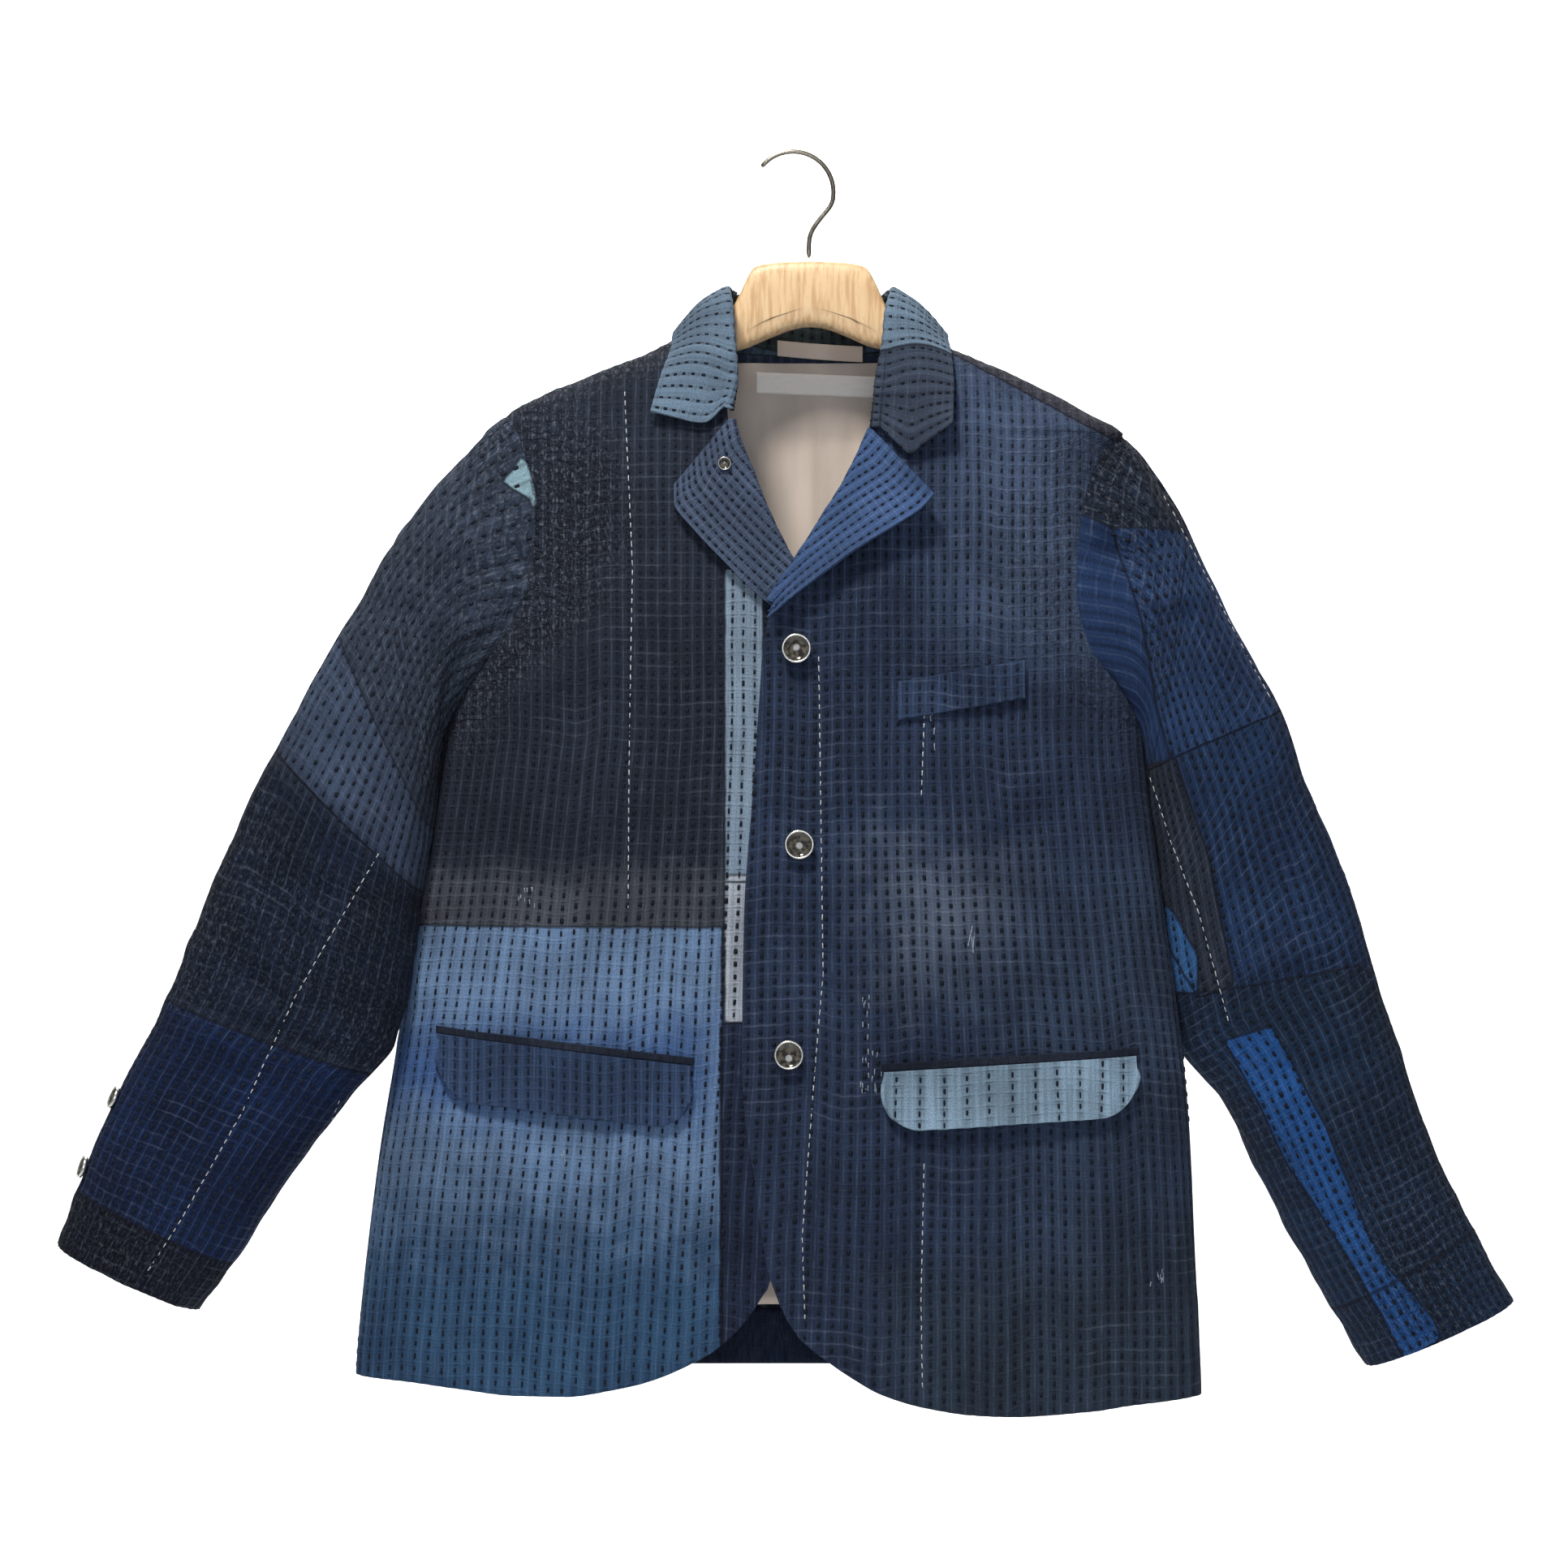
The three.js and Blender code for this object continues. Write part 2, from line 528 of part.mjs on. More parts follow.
// Back panel: rows run from the left side to the right one, dipping at the neck and rising at the hem.
function backPanel(columns) {
  const [leftRows, rightRows] = [seamRows(LEFT_SEAM), seamRows(RIGHT_SEAM)];
  const rows = leftRows.map((left, i) => {
    const right = rightRows[i];
    const [from, to] = [seamAngle(left, Math.PI), seamAngle(right, 0)];
    const dip = BACK_NECK_DIP * (1 - smooth(0, SHOULDER_ROWS, i));
    const rise = BACK_HEM_RISE * smooth(leftRows.length - 6, leftRows.length - 1, i);
    return range(columns + 1).map((j) => {
      const u = j / columns;
      const middle = 1 - (2 * u - 1) ** 2;
      return bodyPoint(lerp(from, to, u), lerp(left.z, right.z, u) + (rise - dip) * middle, 1);
    });
  });
  return wall(rows, {
    thickness: QUILTED_CLOTH,
    hint: outFromAxis,
    stride: 2,
    relief: quilt(rows.length - 1),
    turn: (i, j, n) => {
      if (j === 0) return bodyNormal(seamAngle(leftRows[i], Math.PI), leftRows[i].z, 1);
      return j === columns ? bodyNormal(seamAngle(rightRows[i], 0), rightRows[i].z, 1) : n;
    },
  });
}

// Ring of a sleeve: angle 0 on its outer edge, then over the front to the inner edge and back behind.
function sleevePoint(row, angle) {
  const c = Math.cos(angle);
  const s = Math.sin(angle);
  const across = Math.sign(c) * Math.abs(c) ** (2 / SLEEVE_POWER);
  const round = Math.abs(s) ** (2 / SLEEVE_POWER);
  const x = lerp(row.inX, row.outX, (across + 1) / 2);
  const z = lerp(row.inZ, row.outZ, (across + 1) / 2);
  const folds = s > 0 ? FRONT_FOLDS : BACK_FOLDS;
  const depth = (s > 0 ? row.front : row.back) * round + foldHeight(folds, x, z) * round;
  return new THREE.Vector3(x, row.y + (s > 0 ? -depth : depth), z);
}

// The armhole seam as a closed loop in the order of a sleeve's ring: points moved off the body's edge within
// the body's surface, and the body's outward directions there.
function armholeLoop(edge, outwards) {
  const corner = (row, side) => {
    const angle = angleAt(row.x, row.z);
    return { point: bodyPoint(angle, row.z, side), normal: bodyNormal(angle, row.z, side) };
  };
  const front = edge.armhole.slice(0, ARMHOLE_ROWS).map((row) => corner(row, -1));
  const back = edge.armhole.slice(1).map((row) => corner(row, 1)).reverse();
  const corners = [...front, ...back];
  corners[0].point.y = 0;
  corners[ARMHOLE_ROWS].point.y = 0;
  const loop = corners.flatMap((from, i) => {
    const to = corners[(i + 1) % corners.length];
    return [0, 0.5].map((t) => ({
      point: new THREE.Vector3().lerpVectors(from.point, to.point, t),
      normal: new THREE.Vector3().lerpVectors(from.normal, to.normal, t).normalize(),
    }));
  });
  return loop.map(({ point, normal }, j) => {
    const along = loop[(j + 1) % loop.length].point.clone().sub(loop.at(j - 1).point);
    const away = new THREE.Vector3().crossVectors(normal, along).normalize();
    const seam = ARMHOLE_SEAM + UNDERARM_SEAM * Math.abs(away.z);
    return { point: point.clone().addScaledVector(away, outwards * seam), normal };
  });
}

// A sleeve in quarters: an upper and a lower part that meet at the elbow, each as a front half and a back
// half that meet along the sleeve's outer and inner edges.
const ELBOW_ROW = 9;
const SLEEVE_PARTS = [
  { name: "upper", from: 0, to: ELBOW_ROW },
  { name: "lower", from: ELBOW_ROW, to: LEFT_SLEEVE.length - 1 },
];
function sleeveQuarters(table, seam, outwards) {
  const loop = armholeLoop(seam, outwards);
  const angle = (j) => (2 * Math.PI * j) / SLEEVE_SEGMENTS;
  const away = loop.map(({ point }, j) => point.clone().sub(sleevePoint(table[0], angle(j))));
  const rings = table.map((row, i) =>
    range(SLEEVE_SEGMENTS).map((j) =>
      sleevePoint(row, angle(j)).addScaledVector(away[j], ARMHOLE_MEMORY[i] ?? 0),
    ),
  );
  const middle = table[7];
  const hint = (p) => new THREE.Vector3(p.x - (middle.outX + middle.inX) / 2, p.y - middle.y, 0);
  const normals = surfaceNormals(rings, hint, true);
  normals[0].forEach((n, j) => n.add(loop[j].normal).normalize());
  const half = SLEEVE_SEGMENTS / 2;
  normals.forEach((row) => [row[0], row[half]].forEach((n) => n.setY(0).normalize()));
  const quarter = ({ name, from, to }, side, start) => {
    const part = (ring, j) => ring[(start + j) % SLEEVE_SEGMENTS];
    const off = new THREE.Vector3(0, start ? HALF_SEAM : -HALF_SEAM, 0);
    const rows = range(to - from + 1).map((i) => {
      const ring = rings[from + i];
      const inwards = rings[from + i + (from ? 1 : -1)];
      const atElbow = from + i === ELBOW_ROW;
      return range(half + 1).map((j) => {
        const p = part(ring, j).clone().add(off);
        if (!atElbow) return p;
        return p.addScaledVector(part(inwards, j).clone().sub(part(ring, j)).normalize(), HALF_SEAM);
      });
    });
    const geometry = wall(rows, {
      thickness: QUILTED_CLOTH,
      hint,
      relief: (i, j) => (j % 2 && i > (from ? 0 : 1) && i < to - from ? QUILT_HEIGHT : 0),
      turn: (i, j) => part(normals[from + i], j),
    });
    return { name: `${name}_${side}`, geometry };
  };
  return SLEEVE_PARTS.flatMap((part) => [quarter(part, "front", 0), quarter(part, "back", half)]);
}

// Collar: a stand that rises from the neck seam, folds over and falls back to its free edge.
function collar() {
  const spread = (k, part) => new THREE.Vector3(...["x", "y", "z"].map((axis) => COLLAR[k][part + axis]));
  const spline = (part) => new THREE.CatmullRomCurve3(COLLAR.map((_, k) => spread(k, part)));
  const [seam, fold, edge] = ["a", "f", "e"].map(spline);
  const count = (COLLAR.length - 1) * COLLAR_STEPS;
  const rows = range(count + 1).map((i) => {
    const t = i / count;
    const [a, f, e] = [seam, fold, edge].map((curve) => curve.getPoint(t));
    const rise = f.clone().sub(a).normalize();
    const run = fold.getTangent(t);
    const out = new THREE.Vector3().crossVectors(rise, run).normalize();
    if (out.dot(e.clone().sub(f)) < 0) out.negate();
    const hub = f.clone().addScaledVector(rise, -COLLAR_FOLD_RADIUS).addScaledVector(out, COLLAR_FOLD_RADIUS);
    const bend = [1, 0.72, 0.45, 0.18].map((turn) =>
      hub
        .clone()
        .addScaledVector(out, COLLAR_FOLD_RADIUS * Math.cos(turn * Math.PI))
        .addScaledVector(rise, COLLAR_FOLD_RADIUS * Math.sin(turn * Math.PI)),
    );
    const top = bend[bend.length - 1];
    const gorge = t < 0.5 ? LEFT_GORGE : RIGHT_GORGE;
    const nearEnd = Math.max(0, 1 - Math.min(t, 1 - t) * 14);
    const fall = [0.2, 0.4, 0.6, 0.8, 1].map((share) => {
      const p = new THREE.Vector3().lerpVectors(top, e, share);
      const crown = COLLAR_CROWN * Math.sin(Math.PI * share);
      const corner = Math.min(share / gorge.at, (1 - share) / (1 - gorge.at));
      return p.add(new THREE.Vector3(0, 0, crown * (1 - nearEnd) - gorge.drop * nearEnd * corner));
    });
    return [a, a.clone().lerp(bend[0], 0.5), ...bend, ...fall];
  });
  return wall(rows, { thickness: FACED_CLOTH - 0.4, hint: (p) => new THREE.Vector3(0, p.y, 1) });
}

// Lapel: folds round the front's inner edge and lies back over the front, standing off towards its point.
function lapel(table, edge, side, lift) {
  const count = (table.length - 1) * LAPEL_STEPS;
  const rows = range(count + 1).map((i) => {
    const place = i / LAPEL_STEPS;
    const row = { at: place };
    const numbered = table.map((r, k) => ({ ...r, at: k }));
    ["rollZ", "x", "z", "lift"].forEach((c) => (row[c] = read(numbered, "at", c, place)));
    const roll = { x: read(edge, "z", "x", row.rollZ), z: row.rollZ };
    const width = Math.hypot(row.x - roll.x, row.z - roll.z);
    const [ux, uz] = [(row.x - roll.x) / width, (row.z - roll.z) / width];
    const base = FACED_CLOTH + QUILT_HEIGHT + LAPEL_CLEARANCE;
    const slope = (read(edge, "z", "x", row.rollZ + 2) - read(edge, "z", "x", row.rollZ - 2)) / 4;
    const inwards = side / Math.hypot(1, slope);
    const turned = [
      [-FACED_CLOTH - 1.2, -2],
      [-FACED_CLOTH - 1.4, 1.2],
      [-FACED_CLOTH - 0.2, 3.4],
      [-0.6, base],
    ].map(([w, h]) => frontPoint(roll.x + w * inwards, roll.z - w * inwards * slope, h, lift));
    const flat = [0.14, 0.32, 0.5, 0.68, 0.85, 1].map((share) => {
      const w = share * width;
      return frontPoint(roll.x + w * ux, roll.z + w * uz, base + row.lift * share ** 1.4, lift);
    });
    return [...turned, ...flat];
  });
  return wall(rows, { thickness: FACED_CLOTH, hint: towardsFront });
}

// A piece that lies on a front, made from the front's points moved out: u runs along it and v down it.
function patchOnFront({ x0, z0, x1, z1 }, { drop, columns, levels, inset, thickness, lift, surface }) {
  const rows = range(levels + 1).map((i) =>
    range(columns + 1).map((j) => {
      const [u, v] = [j / columns, i / levels];
      const out = inset + thickness + lift * v * v;
      return frontPoint(lerp(x0, x1, u), lerp(z0, z1, u) - drop(u) * v, out, surface);
    }),
  );
  return wall(rows, { thickness, hint: towardsFront });
}

const onQuilt = QUILT_HEIGHT + QUILT_CLEARANCE;

function flap(place, surface) {
  const length = Math.hypot(place.x1 - place.x0, place.z1 - place.z0);
  const drop = (u) => {
    const fromEnd = Math.min(u, 1 - u) * length;
    const cut = Math.max(0, 1 - fromEnd / FLAP_CORNER);
    return place.height - FLAP_CORNER * (1 - Math.sqrt(1 - cut * cut));
  };
  return patchOnFront(place, {
    drop,
    columns: 16,
    levels: 3,
    inset: onQuilt,
    thickness: FACED_CLOTH - 0.4,
    lift: place.lift,
    surface,
  });
}

function jet(place, surface) {
  const rise = JET_HEIGHT + JET_GAP;
  const raised = {
    x0: place.x0 - JET_OVERHANG,
    z0: place.z0 + rise,
    x1: place.x1 + JET_OVERHANG,
    z1: place.z1 + rise,
  };
  return patchOnFront(raised, {
    drop: () => JET_HEIGHT,
    columns: 12,
    levels: 1,
    inset: onQuilt,
    thickness: 1.6,
    lift: 0,
    surface,
  });
}

function breastWelt() {
  return patchOnFront(BREAST_WELT, {
    drop: () => BREAST_WELT.height,
    columns: 8,
    levels: 2,
    inset: onQuilt,
    thickness: 2,
    lift: 0,
    surface: wrapLift,
  });
}

// Lining of the back, hung just inside the back panel, seen through the neck and above the hem.
const SEWN_GAP = 0.8;
const ROWS_TOWARDS_NECK = 1.5;
const LINING_OFFSET = QUILTED_CLOTH + 1.8;
const LINING = { topZ: -138, bottomZ: -800, from: 136, to: 43, columns: 20, levels: 14 };
const HEM_FACING = { topZ: -803, bottomZ: -842, from: 150, to: 30, columns: 14, levels: 2 };
function insideBack(angle, z, inwards) {
  return bodyPoint(angle, z, 1, () => 0, 0).addScaledVector(bodyNormal(angle, z, 1), -inwards);
}

function backLayer({ topZ, bottomZ, from, to, columns, levels }, inwards, topInwards, thickness) {
  const rows = range(levels + 1).map((i) =>
    range(columns + 1).map((j) => {
      const angle = THREE.MathUtils.degToRad(lerp(from, to, j / columns));
      const z = lerp(topZ, bottomZ, (i / levels) ** ROWS_TOWARDS_NECK);
      return insideBack(angle, z, i ? inwards : topInwards);
    }),
  );
  return wall(rows, { thickness, hint: towardsBack });
}

// The bare label, sewn on the lining at the back neck.
const LABEL = { x0: -26, x1: 61, topZ: -143, height: 16, slope: 0.04 };
function neckLabel() {
  const rows = range(3).map((i) =>
    range(9).map((j) => {
      const x = lerp(LABEL.x0, LABEL.x1, j / 8);
      const z = LABEL.topZ - LABEL.slope * (x - LABEL.x0) - (LABEL.height * i) / 2;
      return insideBack(angleAt(x, z), z, LINING_OFFSET + LINING_CLOTH + SEWN_GAP);
    }),
  );
  return wall(rows, { thickness: LABEL_CLOTH, hint: towardsBack });
}

// The hanging loop, a strip across the inside of the collar's stand that follows its curve.
const LOOP = { x0: -11, x1: 49, topZ: -124, height: 11, slope: 0.08, y: 34.5, bow: 0.0038 };
function neckLoop() {
  const rows = range(3).map((i) =>
    range(9).map((j) => {
      const x = lerp(LOOP.x0, LOOP.x1, j / 8);
      const z = LOOP.topZ - LOOP.slope * (x - LOOP.x0) - (LOOP.height * i) / 2;
      return new THREE.Vector3(x, LOOP.y - LOOP.bow * (x - 12) ** 2, z);
    }),
  );
  return wall(rows, { thickness: 1.2, hint: towardsBack });
}

// Button: a disc with a raised rim and a dished middle on a short shank of thread, its face along +Z.
function button(radius, thickness, shank) {
  const profile = [
    [0, -shank],
    [radius * 0.25, -shank],
    [radius * 0.25, 0],
    [radius * 0.82, 0],
    [radius, thickness * 0.35],
    [radius * 0.96, thickness * 0.85],
    [radius * 0.86, thickness],
    [radius * 0.72, thickness * 0.62],
    [0, thickness * 0.5],
  ].map(([r, h]) => new THREE.Vector2(r, h));
  const geometry = new THREE.LatheGeometry(profile, 14);
  geometry.rotateX(Math.PI / 2);
  return geometry;
}

function facing(mesh, point, direction) {
  mesh.quaternion.setFromUnitVectors(new THREE.Vector3(0, 0, 1), direction.clone().normalize());
  mesh.position.copy(point);
  return mesh;
}

// Hanger: rings along X from the end of one arm to the other, with the arms just under the shoulder seam.
const shoulderZ = (x) => {
  const side = x < 12 ? "left" : "right";
  const line = BODY.slice(0, 5).map((r) => ({ x: r[side], z: r.z }));
  return read(line, "x", "z", x);
};
const HANGER = [
  { x: -184, under: 14, height: 4, half: 6 },
  { x: -181, under: 10, height: 12, half: 12 },
  { x: -172, under: 7, height: 18, half: 15 },
  { x: -142, under: 6, height: 20, half: 14 },
  { x: -110, under: 5, height: 22, half: 12 },
  { x: -80, under: 4, height: 24, half: 10 },
  { x: -62, under: 4, height: 27, half: 9 },
  { x: -50, top: -116, height: 25, half: 8.5 },
  { x: -42, top: -108, height: 29, half: 8 },
  { x: -36, top: -94, height: 42, half: 7.5 },
  { x: -29, top: -78, height: 56, half: 7.5 },
  { x: -25, top: -75, height: 57, half: 7.5 },
  { x: 0, top: WOOD_TOP_Z, height: 48, half: 7.5 },
  { x: 12, top: WOOD_TOP_Z, height: 47, half: 7.5 },
  { x: 24, top: WOOD_TOP_Z, height: 48, half: 7.5 },
  { x: 48, top: -75, height: 57, half: 7.5 },
  { x: 52, top: -78, height: 56, half: 7.5 },
  { x: 60, top: -94, height: 41, half: 7.5 },
  { x: 65, top: -108, height: 29, half: 8 },
  { x: 73, top: -116, height: 25, half: 8.5 },
  { x: 86, under: 4, height: 27, half: 9 },
  { x: 104, under: 4, height: 24, half: 10 },
  { x: 134, under: 5, height: 22, half: 12 },
  { x: 166, under: 6, height: 20, half: 14 },
  { x: 198, under: 7, height: 18, half: 15 },
  { x: 207, under: 10, height: 12, half: 12 },
  { x: 210, under: 14, height: 4, half: 6 },
];
const HANGER_SEGMENTS = 12;

function hangerWood() {
  const positions = [];
  const faces = [];
  HANGER.forEach(({ x, top, under, height, half }) => {
    const high = top ?? shoulderZ(x) - under;
    range(HANGER_SEGMENTS).forEach((k) => {
      const angle = (2 * Math.PI * (k + 0.5)) / HANGER_SEGMENTS;
      const [c, s] = [Math.cos(angle), Math.sin(angle)];
      const y = half * Math.sign(c) * Math.abs(c) ** 0.6;
      const z = high - height / 2 + (height / 2) * Math.sign(s) * Math.abs(s) ** 0.75;
      positions.push(x, y, z);
    });
  });
  const at = (i, k) => i * HANGER_SEGMENTS + (k % HANGER_SEGMENTS);
  range(HANGER.length - 1).forEach((i) =>
    range(HANGER_SEGMENTS).forEach((k) => {
      faces.push(at(i, k), at(i, k + 1), at(i + 1, k + 1), at(i, k), at(i + 1, k + 1), at(i + 1, k));
    }),
  );
  range(HANGER_SEGMENTS - 2).forEach((k) => {
    faces.push(at(0, 0), at(0, k + 2), at(0, k + 1));
    faces.push(at(HANGER.length - 1, 0), at(HANGER.length - 1, k + 1), at(HANGER.length - 1, k + 2));
  });
  return solid(positions, faces);
}

// Hook: round wire from its tip over the crown and down to a straight stem that ends on the wood.
function hookWire() {
  const centreZ = WIRE_RADIUS - HOOK_RADIUS;
  const arc = range(10).map((i) => {
    const turn = THREE.MathUtils.degToRad(lerp(142, -18, i / 9));
    return new THREE.Vector3(HOOK_RADIUS * Math.cos(turn), 0, centreZ + HOOK_RADIUS * Math.sin(turn));
  });
  const stem = [
    [20, -43],
    [13, -53],
    [STEM_X, -60],
    [STEM_X, -66],
    [STEM_X, WOOD_TOP_Z + 0.3],
  ].map(([x, z]) => new THREE.Vector3(x, 0, z));
  const path = new THREE.CatmullRomCurve3([...arc, ...stem]);
  const wire = new THREE.Shape().absarc(0, 0, WIRE_RADIUS, 0, 2 * Math.PI);
  return new THREE.ExtrudeGeometry(wire, {
    extrudePath: path,
    steps: 30,
    curveSegments: 5,
    bevelEnabled: false,
  });
}

const jacket = new THREE.Group();
function add(name, geometry, color, roughness = 0.9, metalness = 0) {
  const mesh = new THREE.Mesh(geometry, new THREE.MeshStandardMaterial({ color, roughness, metalness }));
  mesh.name = name;
  jacket.add(mesh);
  return mesh;
}

const noLift = () => 0;
const FRONT_COLUMNS = 20;
const BACK_COLUMNS = 32;
add(
  "front_right_side",
  frontPanel({
    seam: RIGHT_SEAM,
    sideAngle: 0,
    edge: RIGHT_FRONT_EDGE,
    hem: RIGHT_HEM,
    columns: FRONT_COLUMNS,
    lift: wrapLift,
  }),
  INDIGO,
);
add(
  "front_left_side",
  frontPanel({
    seam: LEFT_SEAM,
    sideAngle: Math.PI,
    edge: LEFT_FRONT_EDGE,
    hem: LEFT_HEM,
    columns: FRONT_COLUMNS,
    lift: noLift,
  }),
  BLACK_INDIGO,
);
add("back", backPanel(BACK_COLUMNS), INDIGO);
for (const { name, geometry } of sleeveQuarters(LEFT_SLEEVE, LEFT_SEAM, -1)) {
  add(`sleeve_left_side_${name}`, geometry, INDIGO);
}
for (const { name, geometry } of sleeveQuarters(RIGHT_SLEEVE, RIGHT_SEAM, 1)) {
  add(`sleeve_right_side_${name}`, geometry, INDIGO);
}
add("collar", collar(), PALE_INDIGO);
add("lapel_left_side", lapel(LEFT_LAPEL, LEFT_FRONT_EDGE, -1, noLift), INDIGO);
add("lapel_right_side", lapel(RIGHT_LAPEL, RIGHT_FRONT_EDGE, 1, wrapLift), BRIGHT_INDIGO);
add("flap_left_side", flap(LEFT_FLAP, noLift), INDIGO);
add("flap_right_side", flap(RIGHT_FLAP, wrapLift), PALE_INDIGO);
add("jet_left_side", jet(LEFT_FLAP, noLift), BLACK_INDIGO);
add("jet_right_side", jet(RIGHT_FLAP, wrapLift), BLACK_INDIGO);
add("breast_welt", breastWelt(), INDIGO);
add("back_lining", backLayer(LINING, LINING_OFFSET, QUILTED_CLOTH + SEWN_GAP, LINING_CLOTH), TAUPE, 0.6);
add("back_hem_facing", backLayer(HEM_FACING, QUILTED_CLOTH + 1, QUILTED_CLOTH + 1, LINING_CLOTH), INDIGO);
add("neck_label", neckLabel(), LABEL_WHITE);
add("neck_loop", neckLoop(), TAUPE);

const frontBack = new THREE.Vector3(0, -1, 0);
for (const { name, x, z } of FRONT_BUTTONS) {
  const seat = frontPoint(x, z, onQuilt + BUTTON_STANDOFF, wrapLift);
  const disc = button(BUTTON_RADIUS, BUTTON_THICKNESS, BUTTON_SHANK);
  facing(add(name, disc, SMOKE, 0.25), seat, frontBack);
}
facing(
  add("button_lapel", button(LAPEL_BUTTON_RADIUS, 2.5, 0.6), SMOKE, 0.25),
  frontPoint(-46, -220, FACED_CLOTH + onQuilt + BUTTON_STANDOFF + 0.8),
  frontBack,
);

// Two buttons near each cuff, on the sleeve's outer edge: on the left turned a little to the front.
const CUFF_BUTTONS = [
  { name: "button_cuff_left_1", table: LEFT_SLEEVE, at: 11.4, angle: 12, standoff: 1.2 },
  { name: "button_cuff_left_2", table: LEFT_SLEEVE, at: 12.7, angle: 12, standoff: 1.4 },
  { name: "button_cuff_right_1", table: RIGHT_SLEEVE, at: 11.9, angle: -40, standoff: 1.7 },
  { name: "button_cuff_right_2", table: RIGHT_SLEEVE, at: 12.7, angle: -40, standoff: 1.8 },
];
for (const { name, table, at, angle, standoff } of CUFF_BUTTONS) {
  const numbered = table.map((r, k) => ({ ...r, at: k }));
  const row = (place) =>
    Object.fromEntries(
      ["outX", "outZ", "inX", "inZ", "y", "front", "back"].map((c) => [c, read(numbered, "at", c, place)]),
    );
  const turn = THREE.MathUtils.degToRad(angle);
  const seat = sleevePoint(row(at), turn);
  const round = sleevePoint(row(at), turn + 0.05).sub(sleevePoint(row(at), turn - 0.05));
  const along = sleevePoint(row(at + 0.1), turn).sub(sleevePoint(row(at - 0.1), turn));
  const normal = round.cross(along).normalize();
  const { outX, inX, outZ, inZ, y } = row(at);
  const middle = new THREE.Vector3((outX + inX) / 2, y, (outZ + inZ) / 2);
  if (normal.dot(seat.clone().sub(middle)) < 0) normal.negate();
  seat.addScaledVector(normal, standoff);
  facing(add(name, button(CUFF_BUTTON_RADIUS, 3.2, 0.6), SMOKE, 0.25), seat, normal);
}

add("hanger_wood", hangerWood(), BEECH, 0.5);
add("hanger_hook", hookWire(), STEEL, 0.25, 1);

export default jacket;
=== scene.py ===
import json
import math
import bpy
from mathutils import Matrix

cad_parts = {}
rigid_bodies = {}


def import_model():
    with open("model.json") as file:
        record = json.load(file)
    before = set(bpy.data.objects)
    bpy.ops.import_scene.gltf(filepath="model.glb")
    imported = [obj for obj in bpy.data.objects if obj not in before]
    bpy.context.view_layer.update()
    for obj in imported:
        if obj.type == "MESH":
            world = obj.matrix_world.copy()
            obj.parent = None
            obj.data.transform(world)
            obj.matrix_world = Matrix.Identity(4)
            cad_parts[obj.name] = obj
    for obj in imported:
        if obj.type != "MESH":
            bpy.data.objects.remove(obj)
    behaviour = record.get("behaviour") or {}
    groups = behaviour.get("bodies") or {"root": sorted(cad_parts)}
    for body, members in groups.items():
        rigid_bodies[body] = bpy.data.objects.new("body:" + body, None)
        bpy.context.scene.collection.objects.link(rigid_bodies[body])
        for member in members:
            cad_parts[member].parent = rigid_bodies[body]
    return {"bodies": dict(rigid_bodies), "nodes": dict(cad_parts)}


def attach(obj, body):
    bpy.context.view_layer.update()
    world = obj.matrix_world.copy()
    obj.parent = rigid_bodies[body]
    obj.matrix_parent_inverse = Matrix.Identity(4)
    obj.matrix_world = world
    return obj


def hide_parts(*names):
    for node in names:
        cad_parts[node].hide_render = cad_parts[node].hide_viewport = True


bl_info = {
    "name": "Patched quilted jacket",
    "version": (1, 0, 0),
    "blender": (4, 5, 0),
    "location": "View3D > Sidebar > Jacket",
    "description": "A patchwork jacket of running-stitch quilted cotton on a wooden hanger",
    "category": "Object",
}

import bmesh
import bpy
import numpy as np
from bpy.props import FloatProperty, FloatVectorProperty, PointerProperty
from mathutils import Vector
from mathutils.bvhtree import BVHTree

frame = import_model()
BODY_NAME = next(iter(frame["bodies"]))
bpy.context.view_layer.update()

MM = 0.001
TO_FRONT = (0, -1, 0)
PHOTO_VIEWPOINT = (-6.2 * MM, -2.2, -434.6 * MM)
PHOTO_FRAME_WIDTH = 1.0819


# Tables and numbers, in millimetres, nearly the same ones as in the part's source
def columns(names, *rows):
    """A table as one array for each named column."""
    return dict(zip(names.split(), np.array(rows, float).T))


QUILTED_CLOTH = 2.4
FACED_CLOTH = 3.0
LINING_CLOTH = 1.0
HALF_SEAM = 0.2
ARMHOLE_TUCK = 0.5
SEAM_PRESSED = 8
CHEST_LEVEL = -400
WAIST_LEVEL = -560
ON_QUILT = 1.4
WRAP_LIFT = 4
LAPEL_CROSSING_LIFT = 5.5
SECTION_POWER = 2.3
SLEEVE_POWER = 2.2
SLEEVE_ROWS = 14
BODY = columns(
    "z left right front back",
    (-118, -62, 86, 26, 28),
    (-134, -91, 108, 36, 38),
    (-154, -142, 153, 46, 46),
    (-181, -197, 204, 53, 50),
    (-195, -207, 227, 56, 52),
    (-250, -222, 234, 61, 54),
    (-320, -231, 238, 63, 55),
    (-400, -240, 241, 63, 54),
    (-480, -252, 250, 61, 52),
    (-560, -265, 261, 58, 50),
    (-620, -274, 269, 57, 49),
    (-680, -284, 274, 56, 48),
    (-750, -293, 277, 55, 47),
    (-820, -300, 280, 54, 46),
    (-870, -303, 281, 54, 46),
)
SHOULDER_ROWS = 6
ARMHOLE_ROWS = 7
SIDE_ROWS = 12
LEFT_SEAM = {
    "shoulder": (-118, -127, -138, -150, -161, -171, -181),
    "armhole": columns(
        "z x", (-181, -197), (-196, -188), (-222, -180), (-258, -175),
        (-300, -180), (-340, -201), (-374, -226), (-400, -240),
    ),
    "hem": -840,
}
